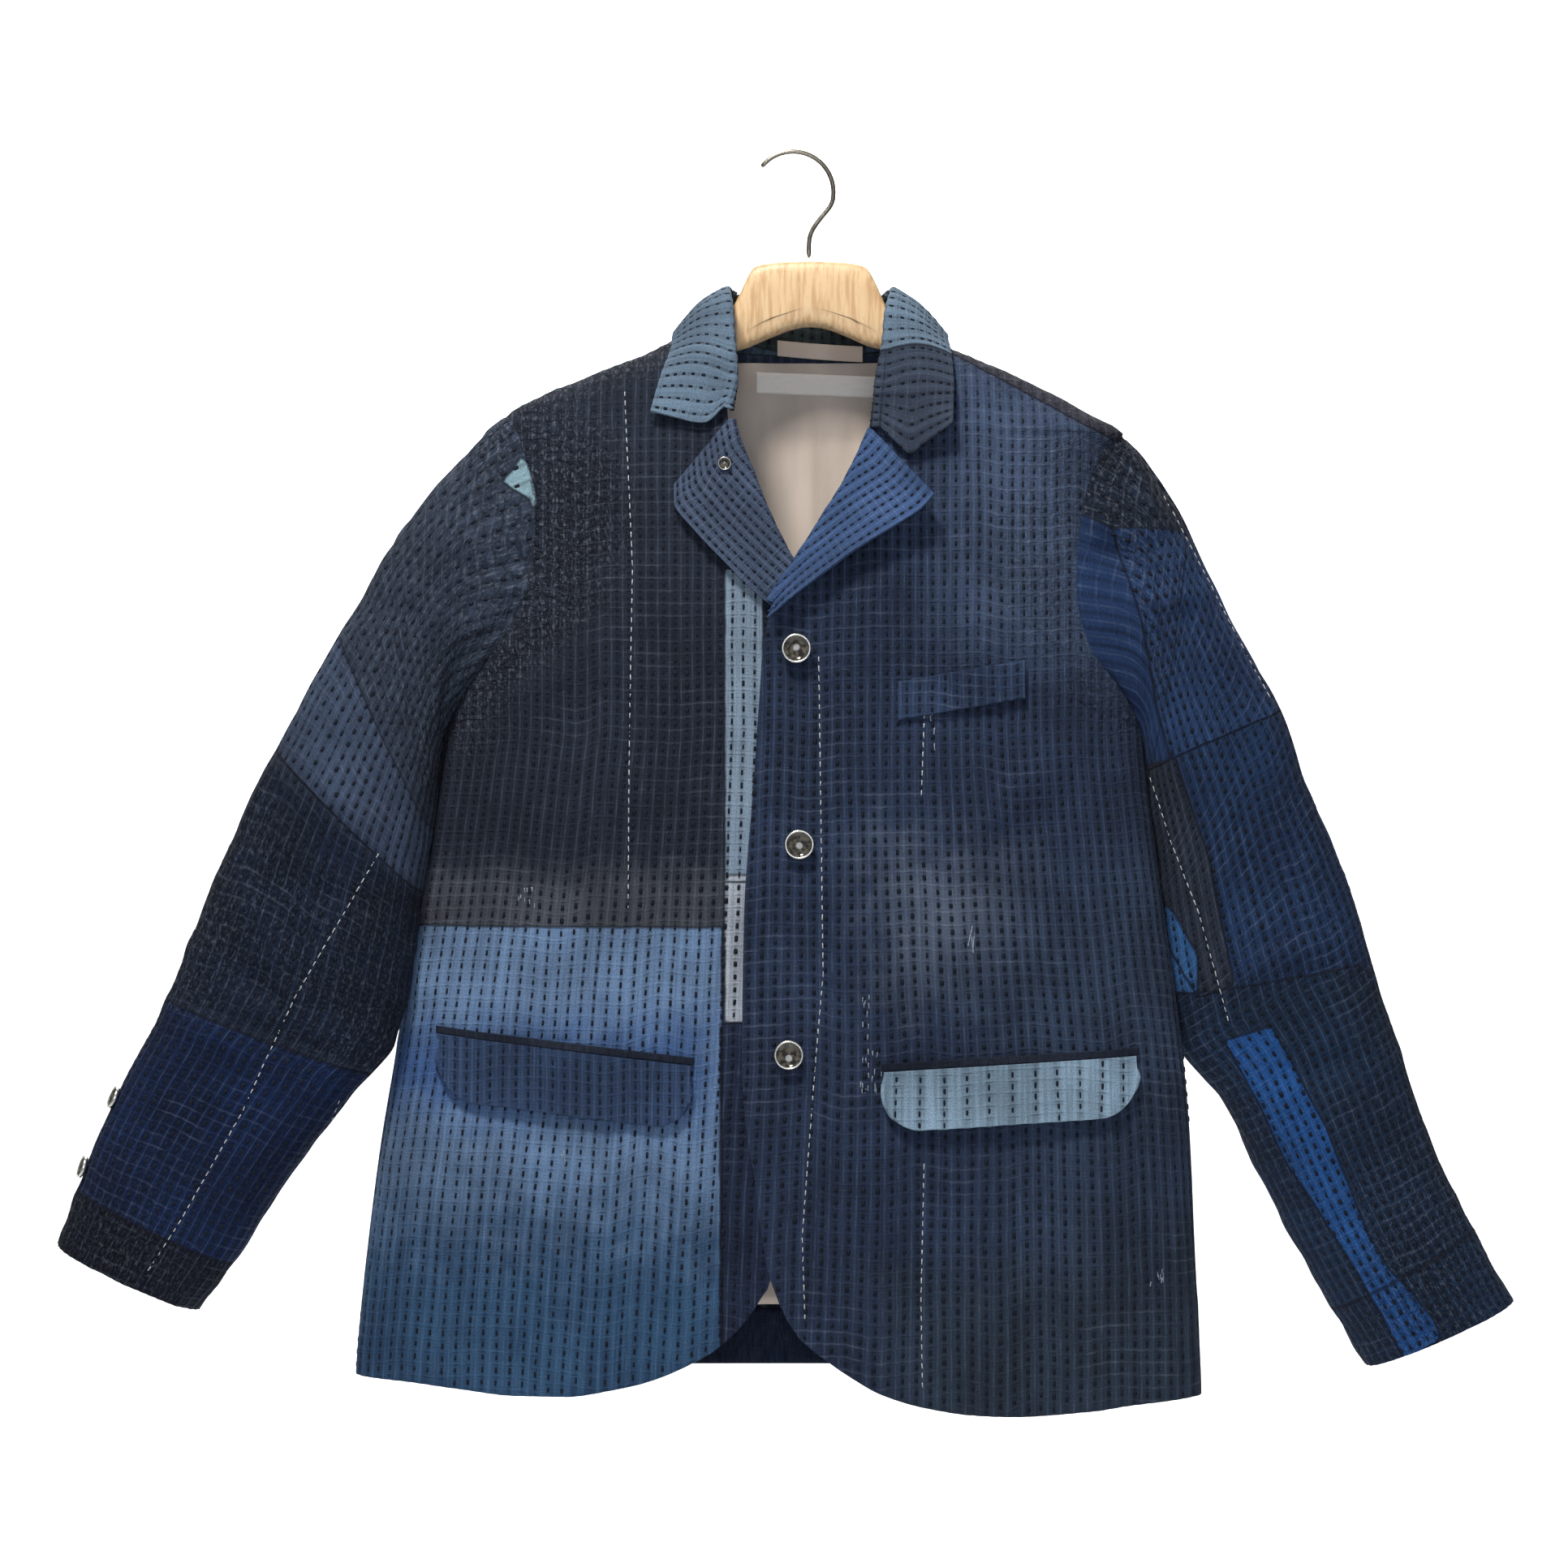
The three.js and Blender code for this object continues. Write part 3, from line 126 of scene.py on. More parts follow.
RIGHT_SEAM = {
    "shoulder": (-118, -130, -143, -156, -169, -182, -195),
    "armhole": columns(
        "z x", (-195, 227), (-208, 211), (-232, 200), (-266, 194),
        (-304, 192), (-341, 201), (-374, 228), (-400, 241),
    ),
    "hem": -854,
}
RIGHT_FRONT_EDGE = columns(
    "z x", (-118, 81), (-135, 70), (-160, 61), (-190, 55), (-218, 44), (-256, 24), (-294, 1),
    (-316, -14), (-336, -19), (-426, -26), (-535, -33), (-633, -34), (-715, -24), (-758, -18), (-785, -9),
)
LEFT_FRONT_EDGE = columns(
    "z x", (-118, -58), (-135, -50), (-160, -46), (-188, -44), (-229, -30), (-262, -16), (-300, 5),
    (-335, 26), (-371, 30), (-453, 27), (-562, 23), (-671, 12), (-730, 0), (-775, -18),
)
RIGHT_HEM = columns(
    "x z", (-9, -785), (4, -806), (20, -820), (40, -834), (61, -846), (89, -855),
    (121, -860), (154, -862), (203, -860), (230, -857), (281, -854),
)
LEFT_HEM = columns(
    "x z", (-302, -840), (-266, -841), (-228, -844), (-184, -848), (-151, -848), (-119, -843),
    (-97, -838), (-59, -821), (-42, -808), (-29, -793), (-18, -775),
)
ROW_SLANT = (
    (-118, -118), (-190, -190), (-266, -257), (-304, -280), (-341, -302), (-374, -324), (-400, -348),
)
BACK_NECK_DIP = 16
BACK_HEM_RISE = 9
FRONT_FOLDS = columns(
    "x0 z0 x1 z1 width height",
    (-190, -205, -186, -330, 9, -4),
    (-215, -395, -120, -335, 15, 4),
    (208, -392, 120, -465, 16, 4),
    (-215, -560, -232, -838, 22, 5),
    (-135, -640, -128, -846, 20, 4),
    (110, -660, 122, -862, 22, 5),
    (212, -600, 224, -858, 20, 4),
    (-330, -300, -235, -330, 12, -5),
    (-385, -575, -300, -610, 8, 4),
    (-372, -548, -318, -618, 7, -4),
    (-440, -585, -330, -632, 8, 3),
    (268, -262, 214, -300, 9, -5),
    (300, -300, 232, -315, 9, 4),
    (386, -540, 300, -565, 10, 4),
    (400, -620, 330, -640, 9, -3),
    (-205, -230, -175, -290, 8, -4),
    (-163, -185, -161, -430, 3.4, -1.6),
    (-216, -279, -178, -301, 8, 3.5),
    (-227, -290, -183, -323, 8, -3.5),
    (-213, -377, -178, -320, 8, 4),
    (-262, -300, -226, -345, 9, 4),
    (-330, -430, -262, -470, 9, 3),
    (-345, -500, -275, -520, 9, -3),
    (258, -225, 300, -232, 8, 3.5),
    (262, -245, 312, -250, 8, -3.5),
    (100, -312, 178, -306, 6, 1.2),
    (100, -327, 180, -320, 6, 1.2),
)
BACK_FOLDS = columns(
    "x0 z0 x1 z1 width height",
    (-182, -220, -180, -345, 9, -4),
    (202, -225, 200, -345, 9, -4),
    (-150, -300, -185, -520, 18, 5),
    (150, -310, 178, -500, 18, 5),
    (-90, -560, -104, -838, 22, 5),
    (70, -600, 84, -840, 24, 4),
    (200, -560, 214, -850, 20, 5),
    (-230, -600, -245, -836, 20, 4),
    (-330, -330, -240, -350, 12, -4),
    (-390, -560, -295, -600, 10, 4),
    (330, -350, 245, -360, 12, -4),
    (392, -575, 290, -600, 10, 4),
)
LEFT_SLEEVE = columns(
    "outX outZ inX inZ y front back",
    (-197, -181, -240, -400, 0, 38, 34),
    (-219, -202, -241.5, -409, -3, 40, 36),
    (-244, -231, -241.5, -419, -7, 41, 37),
    (-272, -268, -243, -435, -11, 41, 38),
    (-299, -314, -246, -456, -16, 41, 38),
    (-325, -359, -249.5, -479, -20, 41, 38),
    (-350, -406, -253.5, -505, -24, 40, 38),
    (-375, -456, -256.5, -538, -26, 40, 37),
    (-397, -509, -261, -576, -27, 39, 36),
    (-415, -555, -270, -612, -27, 38, 35),
    (-433, -596, -299, -646, -26, 37, 34),
    (-453, -633, -328, -683, -24, 36, 33),
    (-472, -671, -356, -721, -21, 34, 31),
    (-487, -707, -379, -758, -18, 32, 30),
    (-503, -750, -407, -794, -15, 30, 28),
)
RIGHT_SLEEVE = columns(
    "outX outZ inX inZ y front back",
    (227, -195, 241, -400, 0, 38, 34),
    (243, -211, 241.5, -409, 3, 39, 37),
    (258, -233, 243, -421, 7, 39, 39),
    (274, -260, 244, -442, 11, 40, 40),
    (296, -304, 246.5, -465, 16, 40, 40),
    (319, -346, 250, -488, 20, 40, 40),
    (342, -386, 253.5, -513, 24, 39, 40),
    (359, -436, 257, -544, 26, 38, 39),
    (378, -478, 260, -578, 27, 38, 38),
    (396, -530, 266.5, -614, 27, 37, 37),
    (409, -577, 297, -652, 26, 36, 36),
    (424, -624, 318, -693, 24, 34, 34),
    (442, -681, 340, -738, 22, 33, 32),
    (465, -732, 367, -789, 19, 31, 30),
    (499, -793, 398, -838, 16, 29, 28),
)
ARMHOLE_MEMORY = columns("at share", (0, 1), (1, 0.2), (2, 0.05), (3, 0))
COLLAR = columns(
    "ax ay az fx fy fz ex ey ez",
    (-41, -49, -183, -41, -61, -183, -96, -58, -184),
    (-42, -42, -163, -37, -55, -163, -89, -49, -158),
    (-46, -31, -139, -38, -42, -139, -83, -31, -138),
    (-51, -19, -125, -40, -25, -108, -83, -15, -128),
    (-57, 0, -117, -41, 0, -93, -82, 2, -122),
    (-45, 21, -123, -34, 22, -94, -77, 28, -130),
    (-20, 31.5, -130, -14, 32, -96, -44, 45, -142),
    (12, 35.2, -133, 12, 36, -97, 12, 51, -147),
    (44, 31.5, -130, 38, 32, -96, 68, 45, -142),
    (69, 21, -123, 58, 22, -95, 101, 28, -131),
    (81, 0, -117, 64.5, 0, -94, 106, 2, -125),
    (72, -19, -125, 62, -25, -109, 106, -16, -131),
    (65, -31, -139, 59, -42, -139, 107, -35, -142),
    (57, -42, -163, 55, -56, -166, 108, -53, -165),
    (51.5, -50, -195, 53, -62, -195, 107, -66, -193),
)
COLLAR_GRID = (48, 230)
COLLAR_FALL = 30
COLLAR_STAND = 0.24
COLLAR_DARK_LEAF = 0.865
COLLAR_FOLD_RADIUS = 3.4
COLLAR_CROWN = 5
LEFT_GORGE = (0.25, 11)
RIGHT_GORGE = (0.38, 19)
LEFT_LAPEL = columns(
    "rollZ x z lift",
    (-190, -80, -234, 3), (-204, -80, -246, 3), (-226, -66, -265, 3), (-250, -48, -284, 2.5),
    (-275, -30, -302, 1.5), (-293, -19, -312, 0.5), (-306, -11, -318, 0),
)
RIGHT_LAPEL = columns(
    "rollZ x z lift",
    (-196, 94, -241, 13), (-209, 86, -250, 13), (-232, 60, -267, 11), (-254, 37, -282, 9),
    (-276, 17, -297, 6), (-297, -3, -312, 3), (-314, -17, -324, 1),
)
LAPEL_BASE = FACED_CLOTH + 1.7
FLAP_CORNER = 26
JET_HEIGHT = 5
LEFT_FLAP = {"x0": -241, "z0": -604, "x1": -69, "z1": -624, "height": 43, "lift": 2.5}
RIGHT_FLAP = {"x0": 61, "z0": -628, "x1": 233, "z1": -619, "height": 40, "lift": 3.5}
BREAST_WELT = {"x0": 70, "z0": -366, "x1": 156, "z1": -351, "height": 26, "lift": 0}
LINING_OFFSET = QUILTED_CLOTH + 1.8
LABEL = {"x0": -26, "x1": 61, "topZ": -143, "height": 16, "slope": 0.04}
LOOP = {"x0": -11, "x1": 49, "topZ": -124, "height": 11, "slope": 0.08, "y": 34.5, "bow": 0.0038}
FRONT_BUTTONS = {"button_top": (2, -344), "button_middle": (4, -475), "button_bottom": (-3, -616)}
CUFF_BUTTONS = {
    "button_cuff_left_1": (LEFT_SLEEVE, 11.4, 12, 1.2),
    "button_cuff_left_2": (LEFT_SLEEVE, 12.7, 12, 1.4),
    "button_cuff_right_1": (RIGHT_SLEEVE, 11.9, -40, 1.7),
    "button_cuff_right_2": (RIGHT_SLEEVE, 12.7, -40, 1.8),
}

# Patches of each piece: name, softness of the edge, two tones, corners as x and z seen from the front.
# A softness of 0 is a turned and sewn edge, any other one is a stretch of fading.
LIGHT_CORNER = (
    "light_corner", 0, "647f8d", "7d9aa8",
    (
        (-198, -229), (-190, -221), (-184, -212), (-180, -217), (-177, -226),
        (-175, -236), (-174, -246), (-177, -249), (-179, -241), (-188, -236),
    ),
)
FRONT_LEFT_PATCHES = (
    LIGHT_CORNER,
    ("smoke_band", 18, "32363e", "434852", ((-330, -496), (-48, -496), (-48, -560), (-330, -560))),
    ("pale_panel", 0, "4b607c", "627da1", ((-330, -531), (-48, -531), (-48, -900), (-330, -900))),
    ("flap_shade", 30, "2c4570", "3a5788", ((-330, -600), (-60, -600), (-60, -655), (-330, -655))),
    ("deep_panel", 60, "243b58", "335272", ((-400, -725), (60, -725), (60, -990), (-400, -990))),
    ("pale_placket", 0, "5c6b7a", "768a9f", ((-46, -290), (-20, -290), (-20, -500), (-46, -500))),
    ("grey_placket", 0, "7e8692", "a4aebc", ((-46, -496), (-20, -496), (-20, -595), (-46, -595))),
    ("dark_placket", 0, "161f32", "202b43", ((-49, -595), (60, -595), (60, -900), (-49, -900))),
)
FRONT_RIGHT_PATCHES = (
    ("blue_shoulder", 45, "2d394e", "3d4c67", ((95, -150), (215, -180), (215, -350), (110, -340))),
    ("worn_cloud", 42, "3b4555", "4f5b6f", ((60, -480), (150, -500), (150, -560), (70, -570))),
    ("dusty_side", 50, "232e41", "2f3e56", ((120, -560), (290, -420), (290, -760), (150, -760))),
    ("slate_hem", 40, "1f2936", "2b3748", ((60, -770), (300, -740), (300, -900), (60, -900))),
    (
        "shoulder_strip", 0, "22222c", "2e2e3b",
        ((106, -120), (232, -192), (232, -206), (200, -192), (96, -134)),
    ),
)
BACK_PATCHES = (
    ("slate_yoke", 0, "222a38", "2e394b", ((-300, -100), (300, -100), (300, -262), (-300, -262))),
    ("pale_block", 0, "516785", "6a86ac", ((40, -560), (330, -560), (330, -770), (40, -770))),
    ("blue_block", 0, "254067", "32568a", ((-330, -430), (-70, -430), (-70, -650), (-330, -650))),
    ("charcoal_hem", 0, "1c2430", "29323f", ((-330, -770), (330, -770), (330, -900), (-330, -900))),
)
COLLAR_PATCHES = (("dark_leaf", 0, "293141", "384354"), ("stand", 0, "1b2427", "2b3537"))
SLEEVE_LEFT_PATCHES = (LIGHT_CORNER,)
SLEEVE_LEFT_BANDS = (
    ("slate_band", 0, "293346", "37455d", 4.4, 6.1),
    ("creased_band", 12, "08111f", "0f1b30", 6.1, 9.6),
    ("deep_band", 0, "06152f", "0c2044", 9.6, 13.1),
    ("cuff_band", 0, "060c17", "0b1322", 13.1, 15),
)
PLAIN_GUSSET = ((170, -240), (216, -261), (235, -320), (249, -387), (258, -417), (236, -430), (170, -400))
SLEEVE_RIGHT_PATCHES = (
    (
        "mid_blue", 0, "182a49", "233b62",
        ((216, -261), (272, -260), (349, -381), (338, -384), (258, -417), (249, -387), (235, -320)),
    ),
    ("plain_gusset", 0, "182846", "20355a", PLAIN_GUSSET),
    (
        "inner_strip", 0, "1d2430", "293141",
        ((236, -424), (261, -417), (286, -487), (303, -573), (279, -582), (240, -509)),
    ),
    ("blue_gusset", 0, "254873", "325f95", ((252, -512), (263, -522), (279, -553), (279, -579), (252, -579))),
    (
        "slate_forearm", 0, "101f33", "182b45",
        ((240, -582), (279, -579), (390, -560), (470, -600), (560, -860), (300, -900)),
    ),
    (
        "bright_strip", 0, "143a6b", "1d4c8a",
        (
            (297, -612), (324, -661), (338, -693), (359, -725), (384, -764), (404, -799), (420, -830),
            (445, -815), (438, -800), (423, -782), (409, -768), (395, -744), (379, -704), (366, -671),
            (347, -634), (329, -601),
        ),
    ),
)
SLEEVE_RIGHT_BANDS = (
    ("cap_band", 0, "121a28", "1a2537", -1, 2.9),
    ("cuff_band", 0, "161f2a", "202b39", 13.2, 15),
)

# Basting: white running threads left in the cloth, as x and z seen from the front.
BASTING_PITCH = 6.4
BASTING_LENGTH = 3.9
BASTING = {
    "front_left_side": (((-114, -169), (-110, -246), (-108, -289), (-110, -399), (-111, -517)),),
    "front_right_side": (
        ((17, -349), (20, -562), (15, -620), (9, -698), (6, -739), (8, -799)),
        ((88, -690), (86, -782), (87, -843)),
        ((88, -387), (86, -441)),
    ),
    "sleeve_left_side": (
        ((-278, -481), (-334, -578), (-370, -655), (-413, -729), (-437, -765)),
        ((-307, -648), (-320, -677)),
    ),
    "sleeve_right_side": (
        ((245, -430), (260, -475), (279, -523), (301, -602)),
        ((255, -236), (280, -283), (298, -315), (330, -375)),
    ),
}

# Frayed and darned spots: threads left standing, in a field of that width and height.
FRAYS = {
    "front_left_side": columns(
        "x z wide tall count length", (-179, -511, 14, 12, 9, 3.5), (-156, -690, 5, 14, 4, 5),
    ),
    "front_right_side": columns(
        "x z wide tall count length",
        (121, -540, 5, 6, 3, 15), (49, -590, 5, 40, 9, 4), (52, -628, 16, 30, 20, 4),
        (247, -771, 11, 9, 8, 4), (94, -392, 4, 40, 7, 5),
    ),
}

# How much the cloth is crushed along each sleeve, by row of its table.
CRUSHED = columns(
    "at left right",
    (0, 0.9, 1), (2.6, 0.95, 0.9), (3.4, 0.8, 0.25), (4.6, 0.3, 0.2), (6, 0.25, 0.25), (7, 0.7, 0.3),
    (9.3, 0.75, 0.3), (9.9, 0.2, 0.35), (12.8, 0.2, 0.5), (13.6, 0.7, 0.8), (14, 0.7, 0.8),
)

# Stitching: spacing of the rows, pitch along a row, length and width of a stitch, depth of the quilting.
STITCHING = columns(
    "spacing pitch length width depth",
    (8.6, 8.6, 4.0, 2.9, 0.9),
    (10.2, 6.9, 4.3, 1.9, 0.9),
    (8.8, 7.0, 3.0, 2.3, 0.7),
    (15.4, 7.8, 4.4, 2.0, 0.8),
)
DARK_CLOTH, PALE_CLOTH, COLLAR_CLOTH, FLAP_CLOTH = range(4)

# Threads: name, dark and light tone
THREADS = {
    "quilting": ("Waxed quilting thread", "0a0f1a", "1a2233"),
    "basting": ("White basting thread", "a9b0b8", "dfe3e6"),
    "frayed": ("Frayed cotton weft", "66748a", "a9b3c2"),
}


# Curves and surfaces of the jacket
def lerp(a, b, t):
    return a + (b - a) * t


def smooth(start, end, value):
    t = np.clip((value - start) / (end - start), 0, 1)
    return t * t * (3 - 2 * t)


def read(table, key, column, values):
    """A column of a table as a smooth curve of another column, which never overshoots its rows."""
    x, y = table[key], table[column]
    if x[-1] < x[0]:
        x, y = x[::-1], y[::-1]
    values = np.clip(values, x[0], x[-1])
    slope = np.diff(y) / np.diff(x)
    product = slope[:-1] * slope[1:]
    total = np.where(product > 0, slope[:-1] + slope[1:], 1)
    inner = np.where(product > 0, 2 * product / total, 0)
    bend = np.concatenate([slope[:1], inner, slope[-1:]])
    i = np.clip(np.searchsorted(x, values, side="right") - 1, 0, len(x) - 2)
    span = x[i + 1] - x[i]
    t = (values - x[i]) / span
    t2, t3 = t * t, t * t * t
    return (
        (2 * t3 - 3 * t2 + 1) * y[i]
        + (t3 - 2 * t2 + t) * span * bend[i]
        + (3 * t2 - 2 * t3) * y[i + 1]
        + (t3 - t2) * span * bend[i + 1]
    )


def numbered(table):
    return {**table, "at": np.arange(len(next(iter(table.values()))), dtype=float)}


def drift(u, v, seed):
    """Smooth random heights from -1 to 1 over a grid of unit cells, the same at each run."""
    lattice = np.random.default_rng(seed).uniform(-1, 1, (64, 64))
    i, j = np.floor(u).astype(int), np.floor(v).astype(int)
    s, t = smooth(0, 1, u - i), smooth(0, 1, v - j)
    pick = lambda a, b: lattice[(i + a) % 64, (j + b) % 64]
    return lerp(lerp(pick(0, 0), pick(1, 0), s), lerp(pick(0, 1), pick(1, 1), s), t)


def section(z):
    left, right, front, back = (read(BODY, "z", c, z) for c in ("left", "right", "front", "back"))
    return (left + right) / 2, (right - left) / 2, front, back


def fold_height(folds, x, z):
    """Ridges and troughs of the cloth at a place seen from the front."""
    total = np.zeros(np.broadcast(x, z).shape)
    for x0, z0, x1, z1, width, height in zip(*folds.values()):
        dx, dz = x1 - x0, z1 - z0
        near = np.clip(((x - x0) * dx + (z - z0) * dz) / (dx * dx + dz * dz), 0, 1)
        away = np.hypot(x - x0 - near * dx, z - z0 - near * dz) / width
        total += height * (0.35 + 0.65 * np.sin(np.pi * near)) * np.exp(-away * away)
    return total


def angle_at(x, z):
    middle, half, _, _ = section(z)
    c = np.clip((x - middle) / half, -1, 1)
    return np.arccos(np.sign(c) * np.abs(c) ** (SECTION_POWER / 2))


def no_lift(x, z):
    return 0 * x


def wrap_lift(x, z):
    crossing = LAPEL_CROSSING_LIFT * np.exp(-(((z + 304) / 34) ** 2))
    return smooth(95, 35, x) * (WRAP_LIFT * smooth(-215, -300, z) + crossing)


def body_point(angle, z, side, lift=no_lift, creased=1):
    angle, z = np.broadcast_arrays(np.asarray(angle, float), np.asarray(z, float))
    middle, half, front, back = section(z)
    c = np.cos(angle)
    around = np.abs(np.sin(angle)) ** (2 / SECTION_POWER)
    x = middle + half * np.sign(c) * np.abs(c) ** (2 / SECTION_POWER)
    depth = (front if side < 0 else back) * around
    folds = FRONT_FOLDS if side < 0 else BACK_FOLDS
    fold = creased * fold_height(folds, x, z) * np.clip(around * 1.6 - 0.3, 0, 1)
    return np.stack([x, side * (depth + fold + lift(x, z) + HALF_SEAM), z], -1)


def front_point(x, z, out=0, lift=no_lift):
    x, z = np.broadcast_arrays(np.asarray(x, float), np.asarray(z, float))
    p = body_point(angle_at(x, z), z, -1, lift)
    p[..., 1] -= out
    return p


def unit(v):
    return v / np.maximum(np.linalg.norm(v, axis=-1, keepdims=True), 1e-9)


def body_normal(angle, z, side):
    around = body_point(angle + 0.02, z, side) - body_point(angle - 0.02, z, side)
    down = body_point(angle, z - 1, side) - body_point(angle, z + 1, side)
    on_seam = np.minimum(angle, np.pi - angle) < 0.01
    around = np.where(on_seam[..., None], (0.0, 1.0, 0.0), around)
    normal = unit(np.cross(around, down))
    outwards = np.stack([np.cos(angle), side * np.sin(angle), 0 * angle], -1)
    return normal * np.where((normal * outwards).sum(-1, keepdims=True) < 0, -1, 1)


def grid_normals(points, hint, closed=False):
    """Directions square to a grid of points, on the side of hint."""
    n = unit(np.cross(np.gradient(points, axis=1), np.gradient(points, axis=0)))
    if closed:
        n[:, 0] = n[:, -1] = unit(n[:, 0] + n[:, -1])
    i, j = points.shape[0] // 2, points.shape[1] // 4
    return n * (1 if n[i, j] @ np.asarray(hint, float) > 0 else -1)


def seam_curve(seam, side_angle, at):
    """Heights and angles of a panel's seam edge at places along its rows, from the neck to the hem."""
    pit = SHOULDER_ROWS + ARMHOLE_ROWS
    below = np.linspace(seam["armhole"]["z"][-1], seam["hem"], SIDE_ROWS + 1)[1:]
    z = np.concatenate([seam["shoulder"][:SHOULDER_ROWS], seam["armhole"]["z"], below])
    armhole = {"at": np.arange(SHOULDER_ROWS, pit + 1, dtype=float), "x": seam["armhole"]["x"]}
    height = read(numbered({"z": z}), "at", "z", at)
    in_armhole = (at > SHOULDER_ROWS) & (at < pit)
    return height, np.where(in_armhole, angle_at(read(armhole, "at", "x", at), height), side_angle)


def travelled(points):
    """Distance run along a line of points, or along each row of a grid of them."""
    steps = np.linalg.norm(np.diff(points, axis=-2), axis=-1)
    return np.concatenate([np.zeros(steps.shape[:-1] + (1,)), steps.cumsum(axis=-1)], axis=-1)


def seam_line(seam, side_angle, count):
    """Heights and angles of a panel's seam edge, in even steps along it."""
    at = np.linspace(0, SHOULDER_ROWS + ARMHOLE_ROWS + SIDE_ROWS, 2000)
    height, angle = seam_curve(seam, side_angle, at)
    run = travelled(body_point(angle, height, -1))
    even = np.interp(np.linspace(0, run[-1], count), run, at)
    return np.interp(even, at, height), np.interp(even, at, angle), even


def front_panel(seam, side_angle, edge, hem, lift, rows, cols):
    outer_z, outer_angle, _ = seam_line(seam, side_angle, rows)
    lowest = edge["z"][-1]
    slant = columns("outer inner", *ROW_SLANT, (seam["hem"], lowest))
    inner_z = read(slant, "outer", "inner", outer_z)
    inner_angle = angle_at(read(edge, "z", "x", inner_z), inner_z)
    u = np.linspace(0, 1, cols)[None, :]
    angle = lerp(inner_angle[:, None], outer_angle[:, None], u)
    straight = lerp(inner_z[:, None], outer_z[:, None], u)
    bottom = lerp(lowest, seam["hem"], u)
    near_hem = smooth(seam["hem"] + 150, seam["hem"], outer_z)[:, None]
    x = body_point(angle, np.broadcast_to(bottom, angle.shape), -1)[..., 0]
    z = straight + near_hem * (read(hem, "x", "z", x) - bottom)
    return body_point(angle, z, -1, lift), angle


def back_panel(rows, cols):
    left_z, left_angle, at = seam_line(LEFT_SEAM, np.pi, rows)
    right_z, right_angle, _ = seam_line(RIGHT_SEAM, 0, rows)
    last = SHOULDER_ROWS + ARMHOLE_ROWS + SIDE_ROWS
    dip = BACK_NECK_DIP * (1 - smooth(0, SHOULDER_ROWS, at))
    rise = BACK_HEM_RISE * smooth(last - 5, last, at)
    u = np.linspace(0, 1, cols)[None, :]
    middle = 1 - (2 * u - 1) ** 2
    angle = lerp(left_angle[:, None], right_angle[:, None], u)
    z = lerp(left_z[:, None], right_z[:, None], u) + (rise - dip)[:, None] * middle
    return body_point(angle, z, 1), angle


def sleeve_point(row, angle):
    c, s = np.cos(angle), np.sin(angle)
    across = np.sign(c) * np.abs(c) ** (2 / SLEEVE_POWER)
    around = np.abs(s) ** (2 / SLEEVE_POWER)
    x = lerp(row["inX"], row["outX"], (across + 1) / 2)
    z = lerp(row["inZ"], row["outZ"], (across + 1) / 2)
    front = row["front"] + fold_height(FRONT_FOLDS, x, z)
    back = row["back"] + fold_height(BACK_FOLDS, x, z)
    return np.stack([x, row["y"] + np.where(s > 0, -front, back) * around, z], -1)


def sleeve_row(table, at):
    return {c: read(numbered(table), "at", c, at) for c in table}


def armhole_loop(seam, outwards, count):
    """The armhole's seam as a closed loop in even steps, tucked a little under the body's edge,
    and the turn round the sleeve at each of its points."""
    at = np.linspace(0, ARMHOLE_ROWS, 1500)
    z, angle = seam_curve(seam, 0 if outwards > 0 else np.pi, SHOULDER_ROWS + at)
    both = lambda f: np.concatenate([f(angle, z, -1)[:-1], f(angle, z, 1)[::-1]])
    line, normal = both(body_point), both(body_normal)
    line[[0, len(at) - 1, -1], 1] = 0
    turn = np.concatenate([at[:-1], 2 * ARMHOLE_ROWS - at[::-1]]) * np.pi / ARMHOLE_ROWS
    run = travelled(line)
    even = np.linspace(0, run[-1], count)
    pick = lambda a: np.stack([np.interp(even, run, a[:, c]) for c in range(3)], -1)
    loop, normal = pick(line), unit(pick(normal))
    loop[-1] = loop[0]
    along = np.roll(loop[:-1], -1, 0) - np.roll(loop[:-1], 1, 0)
    away = unit(np.cross(normal, np.concatenate([along, along[:1]])))
    return loop - (away * outwards + 0.3 * normal) * ARMHOLE_TUCK, np.interp(even, run, turn)


def sleeve_tube(table, seam, outwards, rows, cols):
    at = np.linspace(0, SLEEVE_ROWS, rows)[:, None]
    loop, turn = armhole_loop(seam, outwards, cols)
    tube = sleeve_point(sleeve_row(table, at + 0 * turn), turn + 0 * at)
    away = loop - sleeve_point({c: np.full(cols, v[0]) for c, v in table.items()}, turn)
    points = tube + read(ARMHOLE_MEMORY, "at", "share", at)[..., None] * away[None]
    points[:, -1] = points[:, 0]
    return points, at


def spline(points, count):
    """A smooth curve through a line of points, along the first axis."""
    t = np.linspace(0, len(points) - 1, count)
    i = np.clip(t.astype(int), 0, len(points) - 2)
    f = (t - i).reshape((-1,) + (1,) * (points.ndim - 1))
    pick = lambda k: points[np.clip(i + k, 0, len(points) - 1)]
    a, b, c, d = pick(-1), pick(0), pick(1), pick(2)
    return 0.5 * (2 * b + (c - a) * f + (2 * a - 5 * b + 4 * c - d) * f**2 + (3 * b - a - 3 * c + d) * f**3)


